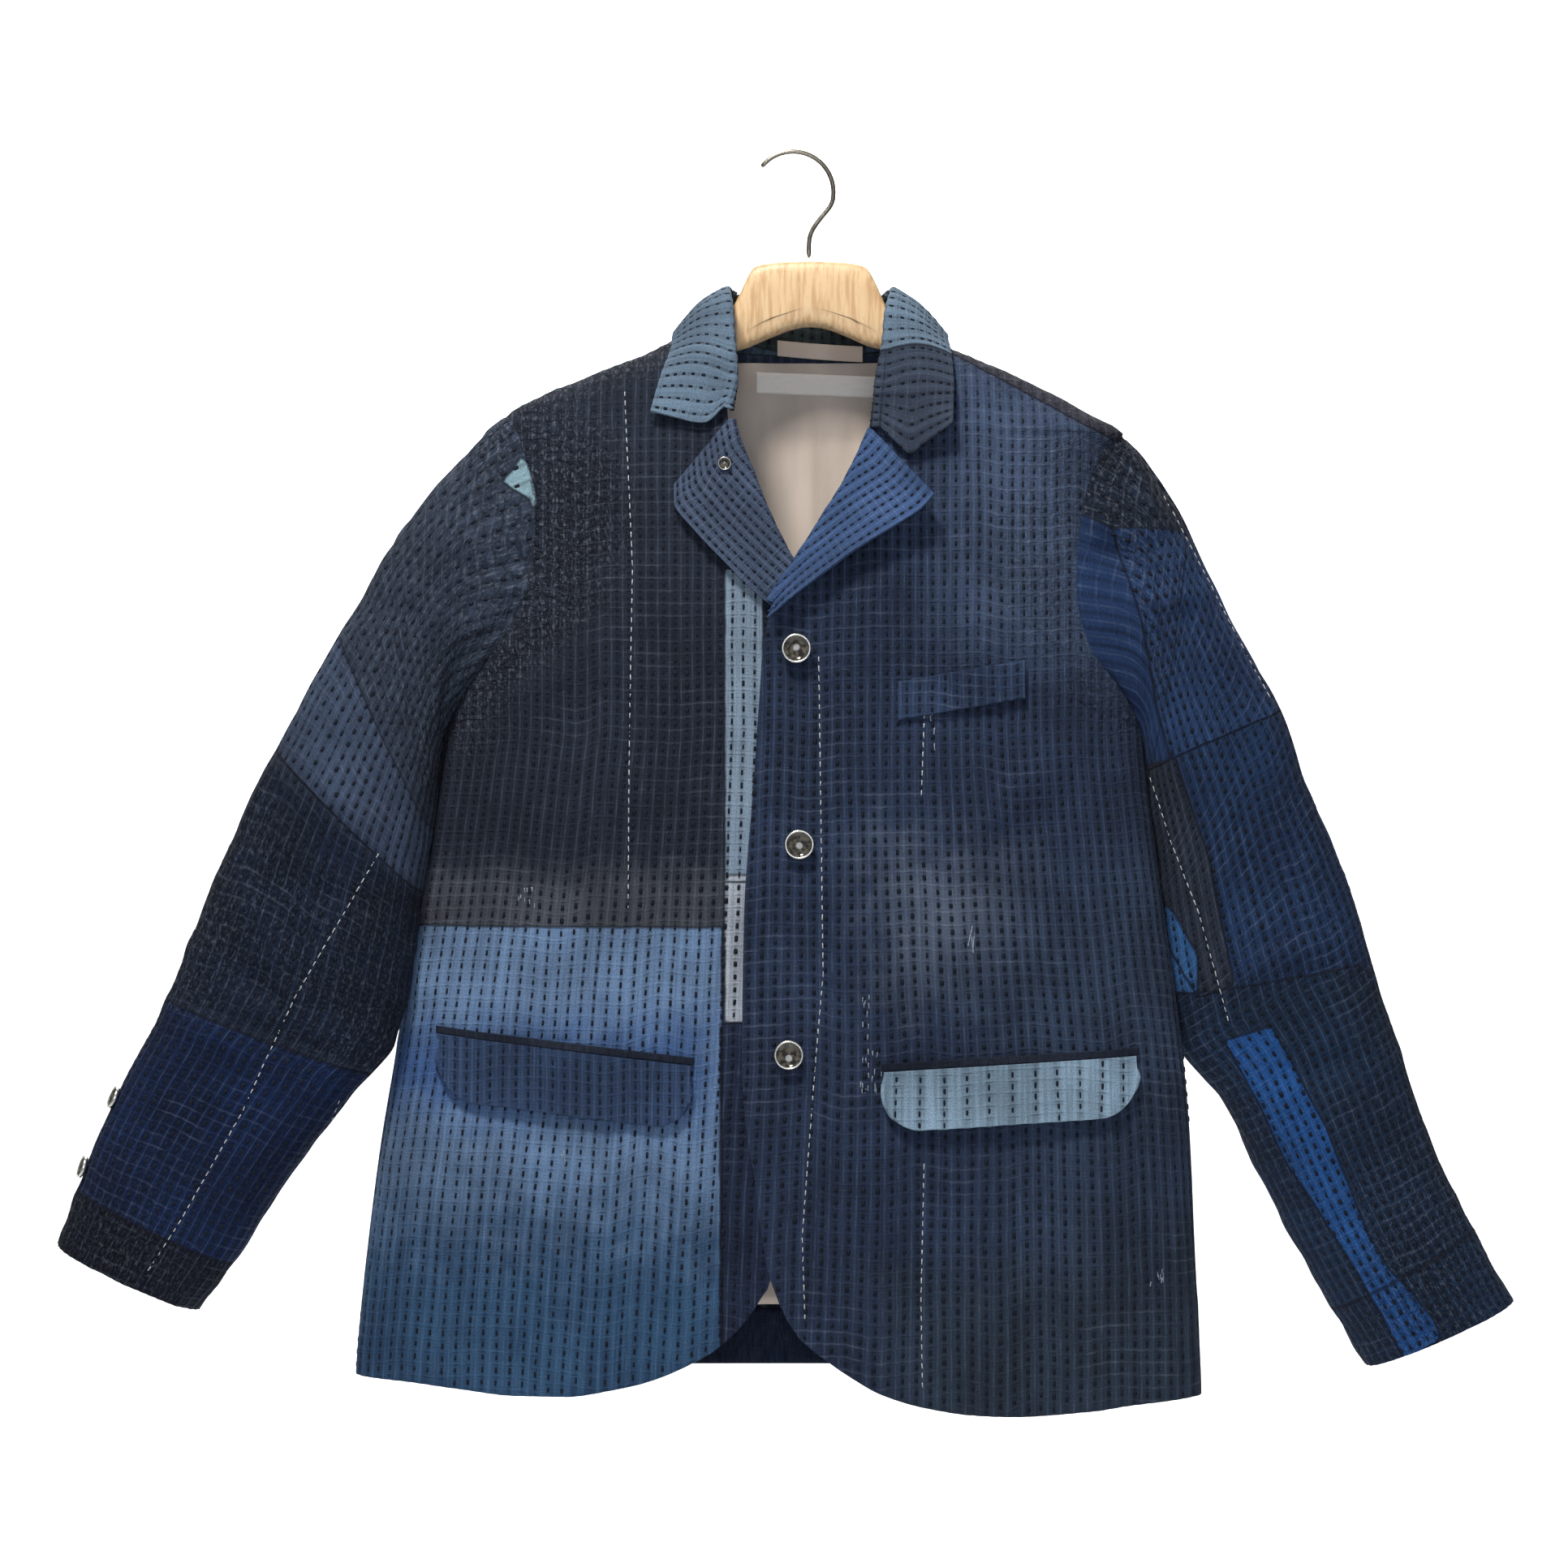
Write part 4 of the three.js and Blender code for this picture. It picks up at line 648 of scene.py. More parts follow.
def collar_surface(rows, cols):
    part = lambda name: spline(np.stack([COLLAR[name + axis] for axis in "xyz"], -1), rows)
    a, f, e = part("a"), part("f"), part("e")
    t = np.linspace(0, 1, rows)[:, None]
    rise = unit(f - a)
    out = unit(np.cross(rise, np.gradient(f, axis=0)))
    out *= np.where(((e - f) * out).sum(-1, keepdims=True) < 0, -1, 1)
    hub = f - rise * COLLAR_FOLD_RADIUS + out * COLLAR_FOLD_RADIUS
    bend = [
        hub + COLLAR_FOLD_RADIUS * (out * math.cos(turn * math.pi) + rise * math.sin(turn * math.pi))
        for turn in (1, 0.72, 0.45, 0.18)
    ]
    gorge_at = np.where(t < 0.5, LEFT_GORGE[0], RIGHT_GORGE[0])
    gorge_drop = np.where(t < 0.5, LEFT_GORGE[1], RIGHT_GORGE[1])
    near_end = np.maximum(0, 1 - np.minimum(t, 1 - t) * 14)
    fall = []
    for share in (0.2, 0.4, 0.6, 0.8, 1):
        crown = COLLAR_CROWN * math.sin(math.pi * share) * (1 - near_end)
        corner = np.minimum(share / gorge_at, (1 - share) / (1 - gorge_at))
        drop = gorge_drop * near_end * corner
        fall.append(lerp(bend[-1], e, share) + (crown - drop) * np.array((0, 0, 1.0)))
    across = np.stack([a, lerp(a, bend[0], 0.5), *bend, *fall])
    return spline(across, cols).transpose(1, 0, 2)


def lapel_surface(table, edge, side, lift, rows, cols):
    place = np.linspace(0, len(table["x"]) - 1, rows)
    row = {c: read(numbered(table), "at", c, place) for c in table}
    roll_x = read(edge, "z", "x", row["rollZ"])
    width = np.hypot(row["x"] - roll_x, row["z"] - row["rollZ"])
    ux, uz = (row["x"] - roll_x) / width, (row["z"] - row["rollZ"]) / width
    slope = (read(edge, "z", "x", row["rollZ"] + 2) - read(edge, "z", "x", row["rollZ"] - 2)) / 4
    inwards = side / np.hypot(1, slope)
    turned = [
        front_point(roll_x + w * inwards, row["rollZ"] - w * inwards * slope, h, lift)
        for w, h in (
            (-FACED_CLOTH - 1.2, -2),
            (-FACED_CLOTH - 1.4, 1.2),
            (-FACED_CLOTH - 0.2, 3.4),
            (-0.6, LAPEL_BASE),
        )
    ]
    flat = [
        front_point(
            roll_x + share * width * ux,
            row["rollZ"] + share * width * uz,
            LAPEL_BASE + row["lift"] * share**1.4,
            lift,
        )
        for share in (0.14, 0.32, 0.5, 0.68, 0.85, 1)
    ]
    return spline(np.stack(turned + flat), cols).transpose(1, 0, 2)


def patch_surface(place, drop, inset, thickness, lift, rows, cols):
    u = np.linspace(0, 1, cols)[None, :]
    v = np.linspace(0, 1, rows)[:, None]
    out = inset + thickness + place["lift"] * v * v
    x = np.broadcast_to(lerp(place["x0"], place["x1"], u), (rows, cols))
    return front_point(x, lerp(place["z0"], place["z1"], u) - drop(u) * v, out, lift)


def flap_surface(place, lift, rows, cols):
    length = math.hypot(place["x1"] - place["x0"], place["z1"] - place["z0"])

    def drop(u):
        cut = np.maximum(0, 1 - np.minimum(u, 1 - u) * length / FLAP_CORNER)
        return place["height"] - FLAP_CORNER * (1 - np.sqrt(1 - cut * cut))

    return patch_surface(place, drop, ON_QUILT, FACED_CLOTH - 0.4, lift, rows, cols)


def inside_back(angle, z, inwards):
    angle, z = np.broadcast_arrays(angle, z)
    return body_point(angle, z, 1, no_lift, 0) - body_normal(angle, z, 1) * np.asarray(inwards)[..., None]


def own(name, mesh, materials):
    piece = bpy.data.objects.new(name, mesh)
    bpy.context.scene.collection.objects.link(piece)
    for material in materials:
        mesh.materials.append(material)
    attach(piece, BODY_NAME)
    return piece


def cloth_piece(name, points, hint, maps, material, slot, thickness, marks=None, closed=False, bevel=0.7):
    """A sheet of cloth through a grid of points on its outer face, with its maps and patch marks."""
    rows, cols = points.shape[:2]
    grid = bmesh.new()
    bmesh.ops.create_grid(grid, x_segments=cols - 1, y_segments=rows - 1, size=1)
    mesh = bpy.data.meshes.new(name)
    grid.to_mesh(mesh)
    grid.free()
    mesh.vertices.foreach_set("co", (points * MM).astype(np.float32).reshape(-1))
    corner = np.empty(len(mesh.loops), np.int32)
    mesh.loops.foreach_get("vertex_index", corner)
    for layer, uv in maps.items():
        data = mesh.uv_layers.new(name=layer).data
        data.foreach_set("uv", uv.reshape(-1, 2)[corner].astype(np.float32).reshape(-1))
    for mark, values in (marks or {}).items():
        attribute = mesh.attributes.new(mark, "FLOAT", "POINT")
        attribute.data.foreach_set("value", values.astype(np.float32).reshape(-1))
    mesh.update()
    middle = (rows // 2) * (cols - 1) + cols // 4
    if mesh.polygons[middle].normal @ Vector(hint) < 0:
        mesh.flip_normals()
    if closed:
        ring = bmesh.new()
        ring.from_mesh(mesh)
        bmesh.ops.remove_doubles(ring, verts=ring.verts, dist=1e-6)
        ring.to_mesh(mesh)
        ring.free()
    mesh.shade_smooth()
    piece = own(f"{name}_cloth", mesh, [material])
    solid = piece.modifiers.new("Thickness", "SOLIDIFY")
    solid.thickness = thickness * MM
    solid.offset = -1
    if bevel:
        edge = piece.modifiers.new("Turned edge", "BEVEL")
        edge.width = bevel * MM
        edge.segments = 2
        edge.angle_limit = math.radians(60)
    return piece


def inside_distance(points, corners):
    """Distance in from a patch's edge in millimetres as seen from the front, below 0 outside it."""
    x, z, corners = points[..., 0], points[..., 2], np.array(corners, float)
    nearest = np.full(x.shape, 1e9)
    inside = np.zeros(x.shape, bool)
    for (x0, z0), (x1, z1) in zip(corners, np.roll(corners, -1, 0)):
        dx, dz = x1 - x0, z1 - z0
        t = np.clip(((x - x0) * dx + (z - z0) * dz) / (dx * dx + dz * dz), 0, 1)
        nearest = np.minimum(nearest, np.hypot(x - x0 - t * dx, z - z0 - t * dz))
        crosses = (z0 > z) != (z1 > z)
        inside ^= crosses & (x < x0 + (z - z0) * dx / (dz if dz else 1e-9))
    return np.where(inside, nearest, -nearest)


def patch_marks(patches, points):
    return {name: inside_distance(points, corners) for name, _, _, _, corners in patches}


def band_marks(bands, at, step):
    """Marks of bands across a sleeve, from its armhole to its cuff: step is its length at each row."""
    return {name: np.minimum(at - first, last - at) * step for name, _, _, _, first, last in bands}


def stitch_shape():
    """One running stitch, blunt at both ends, one unit long, wide and high."""
    shape = bmesh.new()
    bmesh.ops.create_uvsphere(shape, u_segments=4, v_segments=3, radius=0.5)
    bmesh.ops.triangulate(shape, faces=shape.faces)
    for v in shape.verts:
        if abs(v.co.z) < 0.4:
            v.co.z = math.copysign(0.4, v.co.z)
    shape.verts.index_update()
    verts = np.array([v.co[:] for v in shape.verts])
    faces = np.array([[v.index for v in f.verts] for f in shape.faces])
    shape.free()
    return verts, faces


def sew(name, centres, along, normals, length, width, material, height=0.9):
    """Lays one stitch at each place, half sunk in the cloth."""
    verts, faces = stitch_shape()
    count = len(centres)
    rng = np.random.default_rng(len(name) + count)
    along = unit(along + rng.normal(0, 0.05, along.shape))
    across = unit(np.cross(normals, along))
    up = np.cross(along, across)
    length = np.broadcast_to(length, count) * rng.uniform(0.86, 1.12, count)
    width = np.broadcast_to(width, count) * rng.uniform(0.85, 1.15, count)
    placed = (
        centres[:, None]
        + across[:, None] * (verts[None, :, :1] * width[:, None, None])
        + up[:, None] * (verts[None, :, 1:2] * height * 1.3 + 0.1)
        + along[:, None] * (verts[None, :, 2:] * length[:, None, None])
    )
    index = faces[None] + (np.arange(count) * len(verts))[:, None, None]
    mesh = bpy.data.meshes.new(name)
    mesh.from_pydata((placed * MM).reshape(-1, 3).tolist(), [], index.reshape(-1, 3).tolist())
    mesh.shade_smooth()
    own(name, mesh, [material])


def running_stitches(points, normals, rows, steps, share, stitched):
    """Places of the stitches on each whole row: centres, directions and normals."""
    if rows[0, -1] < rows[0, 0]:
        grids = (points, normals, rows, steps, stitched)
        points, normals, rows, steps, stitched = (grid[:, ::-1] for grid in grids)
    found = []
    line = np.arange(len(rows))
    for n in range(math.ceil(rows.min() + 0.05), math.floor(rows.max() - 0.05) + 1):
        j = (rows < n).sum(axis=1)
        ok = (j > 0) & (j < rows.shape[1])
        k, j = line[ok], j[ok]
        if len(k) < 4:
            continue
        t = np.clip((n - rows[k, j - 1]) / (rows[k, j] - rows[k, j - 1]), 0, 1)[:, None]
        at = lambda a: lerp(a[k, j - 1], a[k, j], t if a.ndim == 3 else t[:, 0])
        p, q, s = at(points), at(normals), at(steps)
        keep = at(stitched) > 0
        m = np.arange(math.ceil(s.min() + 0.3), math.floor(s.max() - 0.3) + 1)
        if not len(m):
            continue
        pick = lambda a, where: np.stack([np.interp(where, s, a[:, c]) for c in range(3)], -1)
        before, after = pick(p, m - share / 2), pick(p, m + share / 2)
        shown = np.interp(m, s, keep.astype(float)) > 0.5
        whole = np.interp(m, s, np.gradient(k.astype(float))) < 1.5
        use = shown & whole
        found.append((pick(p, m)[use], (after - before)[use], pick(q, m)[use]))
    return [np.concatenate(part) for part in zip(*found)]


def quilt(points, normals, rows, steps, depth, crinkle, seed):
    """Cloth between the rows of stitches swells out, and short creases run across the rows."""
    puff = np.abs(np.sin(np.pi * rows)) ** 0.8
    pull = 0.35 * np.cos(2 * np.pi * steps) * (1 - puff)
    ripple = drift(rows * 0.45, steps * 0.66, seed) + 0.6 * drift(rows * 0.8, steps * 0.45, seed + 1)
    swell = drift(rows * 0.12, steps * 0.05, seed + 2)
    height = depth * (puff - 0.8 - pull) + crinkle * ripple + 1.6 * swell
    return points + normals * height[..., None]


# Materials
MATH, MIX, RANGE = "ShaderNodeMath", "ShaderNodeMix", "ShaderNodeMapRange"
TIMES, PLUS = {"operation": "MULTIPLY"}, {"operation": "ADD"}
SOFT = {"interpolation_type": "SMOOTHSTEP"}
BLEND = {"data_type": "RGBA", "out": 2}


def linear(colour):
    """An sRGB hex colour as linear red, green, blue and full opacity."""
    parts = [int(colour[i : i + 2], 16) / 255 for i in (0, 2, 4)]
    return tuple(c / 12.92 if c <= 0.04045 else ((c + 0.055) / 1.055) ** 2.4 for c in parts) + (1.0,)


def add(tree, kind, inputs=(), out=0, **settings):
    """Adds a node with its settings, its input values and the links into it, and gives one of its outputs."""
    node = tree.nodes.new(kind)
    for key, value in settings.items():
        setattr(node, key, value)
    for key, value in inputs.items() if isinstance(inputs, dict) else enumerate(inputs):
        if isinstance(value, bpy.types.NodeSocket):
            tree.links.new(value, node.inputs[key])
        else:
            node.inputs[key].default_value = value
    return node.outputs[out]


def new_material(name, **constants):
    """A material with its shader's constants, its node tree, and the place on the piece."""
    material = bpy.data.materials.new(name)
    material.use_nodes = True
    tree = material.node_tree
    for socket, value in constants.items():
        tree.nodes["Principled BSDF"].inputs[socket.replace("_", " ")].default_value = value
    return material, tree, add(tree, "ShaderNodeTexCoord", out="Object")


def dress(tree, colour, height, distance):
    """Joins a colour and a relief, of that many millimetres, to the shader."""
    shader = tree.nodes["Principled BSDF"]
    tree.links.new(colour, shader.inputs["Base Color"])
    bump = add(tree, "ShaderNodeBump", {"Height": height, "Distance": distance * MM})
    tree.links.new(bump, shader.inputs["Normal"])


def blotches(tree, place, size, detail=3.0, stretch=(1, 1, 1)):
    """Cloudy spots about size millimetres across, drawn out by stretch along each axis."""
    scale = [1 / (size * MM * s) for s in stretch]
    mapped = add(tree, "ShaderNodeMapping", {"Vector": place, "Scale": scale})
    return add(tree, "ShaderNodeTexNoise", {"Vector": mapped, "Scale": 1.0, "Detail": detail})


def two_tones(tree, dark, light, share):
    return add(tree, MIX, {0: share, 6: linear(dark), 7: linear(light)}, **BLEND)


def quilted_cotton(name, dark, light, patches=(), cross=0.5, worn=0.5):
    """Indigo-dyed plain-weave cotton, hand quilted: faded along the ridges, with painted shade in the
    stitched rows, with slubs along the warp, pale lines where the cloth has rubbed between stitches, sharp
    creases where it is crushed with painted shade in their bottoms and a painted highlight on their raised
    tops, and sewn-down patches with painted shadow along their turned edges."""
    material, tree, place = new_material(name, Roughness=0.88, Specular_IOR_Level=0.12, Sheen_Weight=0.02)
    stitch_map = add(tree, "ShaderNodeUVMap", uv_map="Stitch")
    cloth = add(tree, "ShaderNodeUVMap", uv_map="Cloth")
    crushed = add(tree, "ShaderNodeAttribute", out="Fac", attribute_name="crush")
    from_row, from_stitch = (
        add(tree, MATH, (add(tree, "ShaderNodeSeparateXYZ", (stitch_map,), axis), 0.5), operation="PINGPONG")
        for axis in (0, 1)
    )
    cloud = blotches(tree, place, 55, 4)
    patchy = blotches(tree, place, 16, 3)
    streak = blotches(tree, cloth, 2.2, 2, (1, 45, 1))
    slub = blotches(tree, cloth, 1.3, 2, (1, 9, 1))
    weft = blotches(tree, cloth, 1.5, 2, (14, 1, 1))
    grain = blotches(tree, cloth, 1.1, 1)
    wrinkle = blotches(tree, cloth, 7, 4, (1.7, 1, 1))
    crinkle_top_noise = blotches(tree, cloth, 1.7, 2, (1, 2.4, 1))
    mixed = add(tree, MATH, (cloud, 1.1, add(tree, MATH, (streak, 0.9), **TIMES)), operation="MULTIPLY_ADD")
    fade = add(tree, RANGE, (mixed, 0.72, 1.28, 0, 1), **SOFT)
    ragged = add(tree, MATH, (patchy, 0.5), operation="SUBTRACT")
    colour, relief, hem = two_tones(tree, dark, light, fade), 0.0, 0.0
    for mark, soft, patch_dark, patch_light, *_ in patches:
        inside = add(tree, "ShaderNodeAttribute", out="Fac", attribute_name=mark)
        reach = max(soft, 0.5)
        bitten = add(tree, MATH, (ragged, 1.6 * soft if soft else 2.0, inside), operation="MULTIPLY_ADD")
        mask = add(tree, RANGE, (bitten, -reach, reach, 0, 1), **SOFT)
        patch = two_tones(tree, patch_dark, patch_light, fade)
        colour = add(tree, MIX, {0: mask, 6: colour, 7: patch}, **BLEND)
        if not soft:
            off_edge = add(tree, MATH, (bitten,), operation="ABSOLUTE")
            edge = add(tree, RANGE, (off_edge, 0.2, 1.6, 1, 0), **SOFT)
            hem = add(tree, MATH, (hem, edge), operation="MAXIMUM")
            relief = add(tree, MATH, (mask, 0.5, relief), operation="MULTIPLY_ADD")
    # Rubbed lines between stitches, wear along the ridges, pale lint, and a painted highlight on the raised
    # crinkles where it is crushed
    gap = add(tree, RANGE, (from_stitch, 0.36, 0.48, 0, 1), **SOFT)
    spotty = add(tree, RANGE, (patchy, 0.4, 0.66, 0.2, 1), **SOFT)
    where = add(tree, RANGE, (blotches(tree, place, 75, 1), 0.4, 0.6, 0.12, 1), **SOFT)
    rubbed = add(tree, MATH, (add(tree, MATH, (gap, spotty), **TIMES), where), **TIMES)
    ridge = add(tree, RANGE, (from_row, 0.38, 0.5, 0, 1), **SOFT)
    wear = add(tree, MATH, (ridge, add(tree, RANGE, (slub, 0.36, 0.66, 0.2, 1), **SOFT)), **TIMES)
    lint = add(tree, RANGE, (weft, 0.66, 0.78, 0, 1), **SOFT)
    # Painted highlight: pale spots on the raised tops of the crushed cloth's crinkles, which the bump also
    # lifts
    flecks = add(tree, MATH, (add(tree, RANGE, (crinkle_top_noise, 0.5, 0.68, 0, 1), **SOFT), crushed), **TIMES)
    for pattern, strength, tone in (
        (rubbed, cross, (0.055, 0.066, 0.088, 1)),
        (wear, worn, (0.05, 0.062, 0.086, 1)),
        (lint, 0.5, (0.04, 0.046, 0.058, 1)),
        (flecks, 0.8, (0.07, 0.079, 0.096, 1)),
    ):
        share = add(tree, MATH, (pattern, strength), **TIMES)
        colour = add(tree, MIX, {0: share, 6: colour, 7: tone}, blend_type="ADD", **BLEND)
    # The rows of stitches, the turned edges of patches and the bottoms of creases lie in shadow
    valley = add(tree, RANGE, (from_row, 0.02, 0.24, 0.3, 0), **SOFT)
    bottom = add(tree, MATH, (add(tree, MATH, (wrinkle, 0.5), operation="SUBTRACT"),), operation="ABSOLUTE")
    crease = add(tree, MATH, (add(tree, RANGE, (bottom, 0.0, 0.07, 1, 0), **SOFT), crushed), **TIMES)
    deep = add(tree, MATH, (add(tree, MATH, (hem, 0.75), **TIMES), valley), operation="MAXIMUM")
    deep = add(tree, MATH, (add(tree, MATH, (crease, 0.6), **TIMES), deep), operation="MAXIMUM")
    colour = add(tree, MIX, {0: deep, 6: colour, 7: (0.005, 0.006, 0.011, 1)}, **BLEND)
    woven = add(tree, RANGE, (grain, 0.3, 0.7, 0.84, 1.14), **SOFT)
    colour = add(tree, "ShaderNodeVectorMath", {0: colour, "Scale": woven}, operation="SCALE")
    pucker = add(tree, MATH, (gap, add(tree, RANGE, (from_row, 0.0, 0.4, 0.5, 0.1), **SOFT)), **TIMES)
    height = add(tree, MATH, (pucker, relief), **PLUS)
    for pattern, size in ((slub, 0.35), (weft, 0.45), (grain, 0.3), (crease, -0.7), (flecks, 0.25)):
        height = add(tree, MATH, (pattern, size, height), operation="MULTIPLY_ADD")
    crumpled = add(tree, MATH, (wrinkle, crushed), **TIMES)
    dress(tree, colour, add(tree, MATH, (crumpled, 2.4, height), operation="MULTIPLY_ADD"), 1)
    return material


def cotton_thread(name, colour, pale):
    """Twisted cotton sewing thread: matt, with its strands as fine light and dark turns."""
    material, tree, place = new_material(name, Roughness=0.8, Specular_IOR_Level=0.2)
    strands = blotches(tree, place, 0.9, 2)
    share = add(tree, RANGE, (strands, 0.35, 0.7, 0, 1), **SOFT)
    dress(tree, two_tones(tree, colour, pale, share), strands, 0.4)
    return material


def lining_twill(name, dark, light):
    """Cupro lining, a fine twill: a soft satin sheen with faint vertical shading."""
    material, tree, place = new_material(name, Roughness=0.5, Sheen_Weight=0.15)
    shading = blotches(tree, place, 30, 2, (1, 1, 4))
    # Its ribs are 0.3 mm apart, drawn at 1.2 mm so that they show
    ribs = blotches(tree, place, 1.2, 2, (1, 1, 6))
    share = add(tree, RANGE, (shading, 0.3, 0.7, 0, 1), **SOFT)
    dress(tree, two_tones(tree, dark, light, share), ribs, 0.15)
    return material


def oiled_beech(name, dark, light):
    """Planed and oiled beech: pale upright grain on the shaped end, short dark flecks, a satin surface."""
    material, tree, place = new_material(name, Roughness=0.42)
    rings = blotches(tree, place, 2.6, 4, (1, 1, 12))
    flecks = blotches(tree, place, 0.8, 2, (1, 1, 7))
    colour = two_tones(tree, light, dark, add(tree, RANGE, (rings, 0.38, 0.68, 0, 1), **SOFT))
    share = add(tree, RANGE, (flecks, 0.6, 0.75, 0, 0.4), **SOFT)
    colour = add(tree, MIX, {0: share, 6: colour, 7: linear("a9825a")}, **BLEND)
    dress(tree, colour, flecks, 0.12)
    return material


def drawn_metal(name, colour, rough):
    """Nickel-plated wire or a plated rim: bright, with fine drawing marks that soften the reflections."""
    material, tree, place = new_material(name, Base_Color=linear(colour), Metallic=1.0)
    marks = blotches(tree, place, 0.6, 2, (1, 1, 8))
    roughness = add(tree, RANGE, (marks, 0.3, 0.7, rough * 0.8, rough * 1.3), **SOFT)
    tree.links.new(roughness, tree.nodes["Principled BSDF"].inputs["Roughness"])
    return material


def smoky_resin(name, dark, light):
    """Cast and polished resin: a glossy smoky brown with cloudy streaks."""
    material, tree, place = new_material(name, Roughness=0.12, IOR=1.54, Coat_Weight=0.4)
    clouds = blotches(tree, place, 3.5, 3)
    share = add(tree, RANGE, (clouds, 0.4, 0.65, 0, 1), **SOFT)
    dress(tree, two_tones(tree, dark, light, share), clouds, 0.02)
    return material


def woven_label(name):
    """Plain woven label tape: matt off-white with a fine rib."""
    material, tree, place = new_material(name, Roughness=0.8)
    rib = blotches(tree, place, 1.0, 1, (8, 1, 1))
    dress(tree, two_tones(tree, "f2efe8", "fffdf9", rib), rib, 0.2)
    return material


def matt_paper(name, colour):
    """Seamless backdrop paper: flat and matt, with a trace of mottle."""
    material, tree, place = new_material(name, Roughness=0.9)
    mottle = blotches(tree, place, 120, 2)
    pale = add(tree, RANGE, (mottle, 0.3, 0.7, 0.99, 1.0), **SOFT)
    scaled = add(tree, "ShaderNodeVectorMath", {0: colour, "Scale": pale}, operation="SCALE")
    dress(tree, scaled, mottle, 0.01)
    return material


# What a user would change
class QuiltingSizes(bpy.types.PropertyGroup):
    column_step: FloatProperty(
        name="Column step", description="Distance between the points across a row", default=0.0021,
        min=0.001, unit="LENGTH",
    )
    row_step: FloatProperty(
        name="Row step", description="Distance between the points along a row", default=0.0040,
        min=0.001, unit="LENGTH",
    )
    crinkle: FloatProperty(
        name="Crinkle", description="Height of the short creases across the rows", default=0.0005,
        min=0, unit="LENGTH",
    )


class StageSettings(bpy.types.PropertyGroup):
    floor_height: FloatProperty(
        name="Floor", description="Height of the floor below the hook", default=-2.0, unit="LENGTH",
    )
    paper: FloatVectorProperty(
        name="Paper", description="Colour of the floor and backdrop", subtype="COLOR", size=3,
        default=(0.9, 0.9, 0.9),
    )
    key_power: FloatProperty(name="Key light", description="Power of the key light", default=63, unit="POWER")


def thread(kind):
    """One of the three threads, made when it is first asked for."""
    name, dark, light = THREADS[kind]
    return bpy.data.materials.get(name) or cotton_thread(name, dark, light)


def between_rows(points):
    """Stitch map of a cloth that shows no stitches: it keeps to the space between two rows."""
    across = np.broadcast_to(np.linspace(0.3, 0.7, points.shape[1]), points.shape[:2])
    return np.stack([across, across], -1)


def declare(nodes):
    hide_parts(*nodes)


def quilted_piece(
    name, points, hint, rows, steps, look, material, nodes, rests_on, seed,
    crinkle=None, slot="indigo_quilted_cotton", held="hung", seam_away=None, pale=(), bare=None, closed=False,
    **cloth,
):
    """A quilted sheet with its stitches, from its base surface and its row and step coordinates."""
    style = {c: STITCHING[c][look] for c in STITCHING}
    if crinkle is None:
        crinkle = bpy.context.scene.quilting_sizes.crinkle / MM
    wavy = rows + 0.13 * drift(rows * 0.25, steps * 0.07, seed + 5)
    wavy = wavy + 0.05 * drift(rows * 0.6, steps * 0.3, seed + 6)
    shifted = steps + 0.5 * drift(rows * 0.35, steps * 0.04, seed + 7)
    if closed:
        turns = round(rows[0, -1] - rows[0, 0])
        share = (rows - rows[:, :1]) / turns
        edge = wavy[:, :1] - rows[:, :1]
        wavy = wavy + share * (edge - (wavy[:, -1:] - rows[:, -1:]))
        shifted = shifted + share * (shifted[:, :1] - shifted[:, -1:])
    normals = grid_normals(points, hint, closed)
    raised = quilt(points, normals, wavy, shifted, style["depth"], crinkle, seed)
    if seam_away is not None:
        raised = lerp(points, raised, smooth(0, SEAM_PRESSED, seam_away)[..., None])
    if closed:
        raised[:, -1] = raised[:, 0]
    maps = {
        "Stitch": np.stack([wavy, shifted], -1),
        "Cloth": np.stack([rows * style["spacing"], steps * style["pitch"]], -1) * MM,
    }
    piece = cloth_piece(name, raised, hint, maps, material, slot, closed=closed, **cloth)
    declare(nodes)
    facing = grid_normals(raised, hint, closed)
    share = style["length"] / style["pitch"]
    stitched = -inside_distance(points, bare) if bare else np.ones(points.shape[:2])
    centres, along, square = running_stitches(raised, facing, wavy, shifted, share, stitched)
    widths = np.full(len(centres), style["width"])
    for corners in pale:
        widths[inside_distance(centres, corners) > 0] = STITCHING["width"][PALE_CLOTH]
    sew(f"{name}_stitches", centres, along, square, style["length"], widths, thread("quilting"))


def on_cloth(name, x, z):
    """Places and normals on a piece's outer face for points seen from the front, and which of them hit it."""
    mesh = bpy.data.objects[f"{name}_cloth"].data
    tree = BVHTree.FromPolygons([v.co for v in mesh.vertices], [p.vertices for p in mesh.polygons])
    hits = [tree.ray_cast(Vector((a * MM, -0.3, b * MM)), Vector((0, 1, 0)))[:2] for a, b in zip(x, z)]
    found = np.array([place is not None for place, _ in hits])
    places = np.array([place for place, _ in hits if place is not None]) / MM
    normals = np.array([normal for _, normal in hits if normal is not None])
    return places, normals * np.where(normals[:, 1:2] > 0, -1, 1), found


def baste(name, lines):
    """Lays white basting stitches on a piece along lines seen from the front."""
    spots, ways = [], []
    for line in lines:
        line = np.array(line, float)
        run = travelled(line)
        follow = lambda at: np.stack([np.interp(at, run, line[:, c]) for c in (0, 1)], -1)
        at = np.arange(2, run[-1], BASTING_PITCH)
        spots.append(follow(at))
        ways.append(follow(at + 1) - follow(at))
    (x, z), (dx, dz) = np.concatenate(spots).T, np.concatenate(ways).T
    places, normals, found = on_cloth(name, x, z)
    along = np.stack([dx, 0 * dx, dz], -1)[found]
    sew(f"{name}_basting", places, along, normals, BASTING_LENGTH, 0.8, thread("basting"), height=0.6)


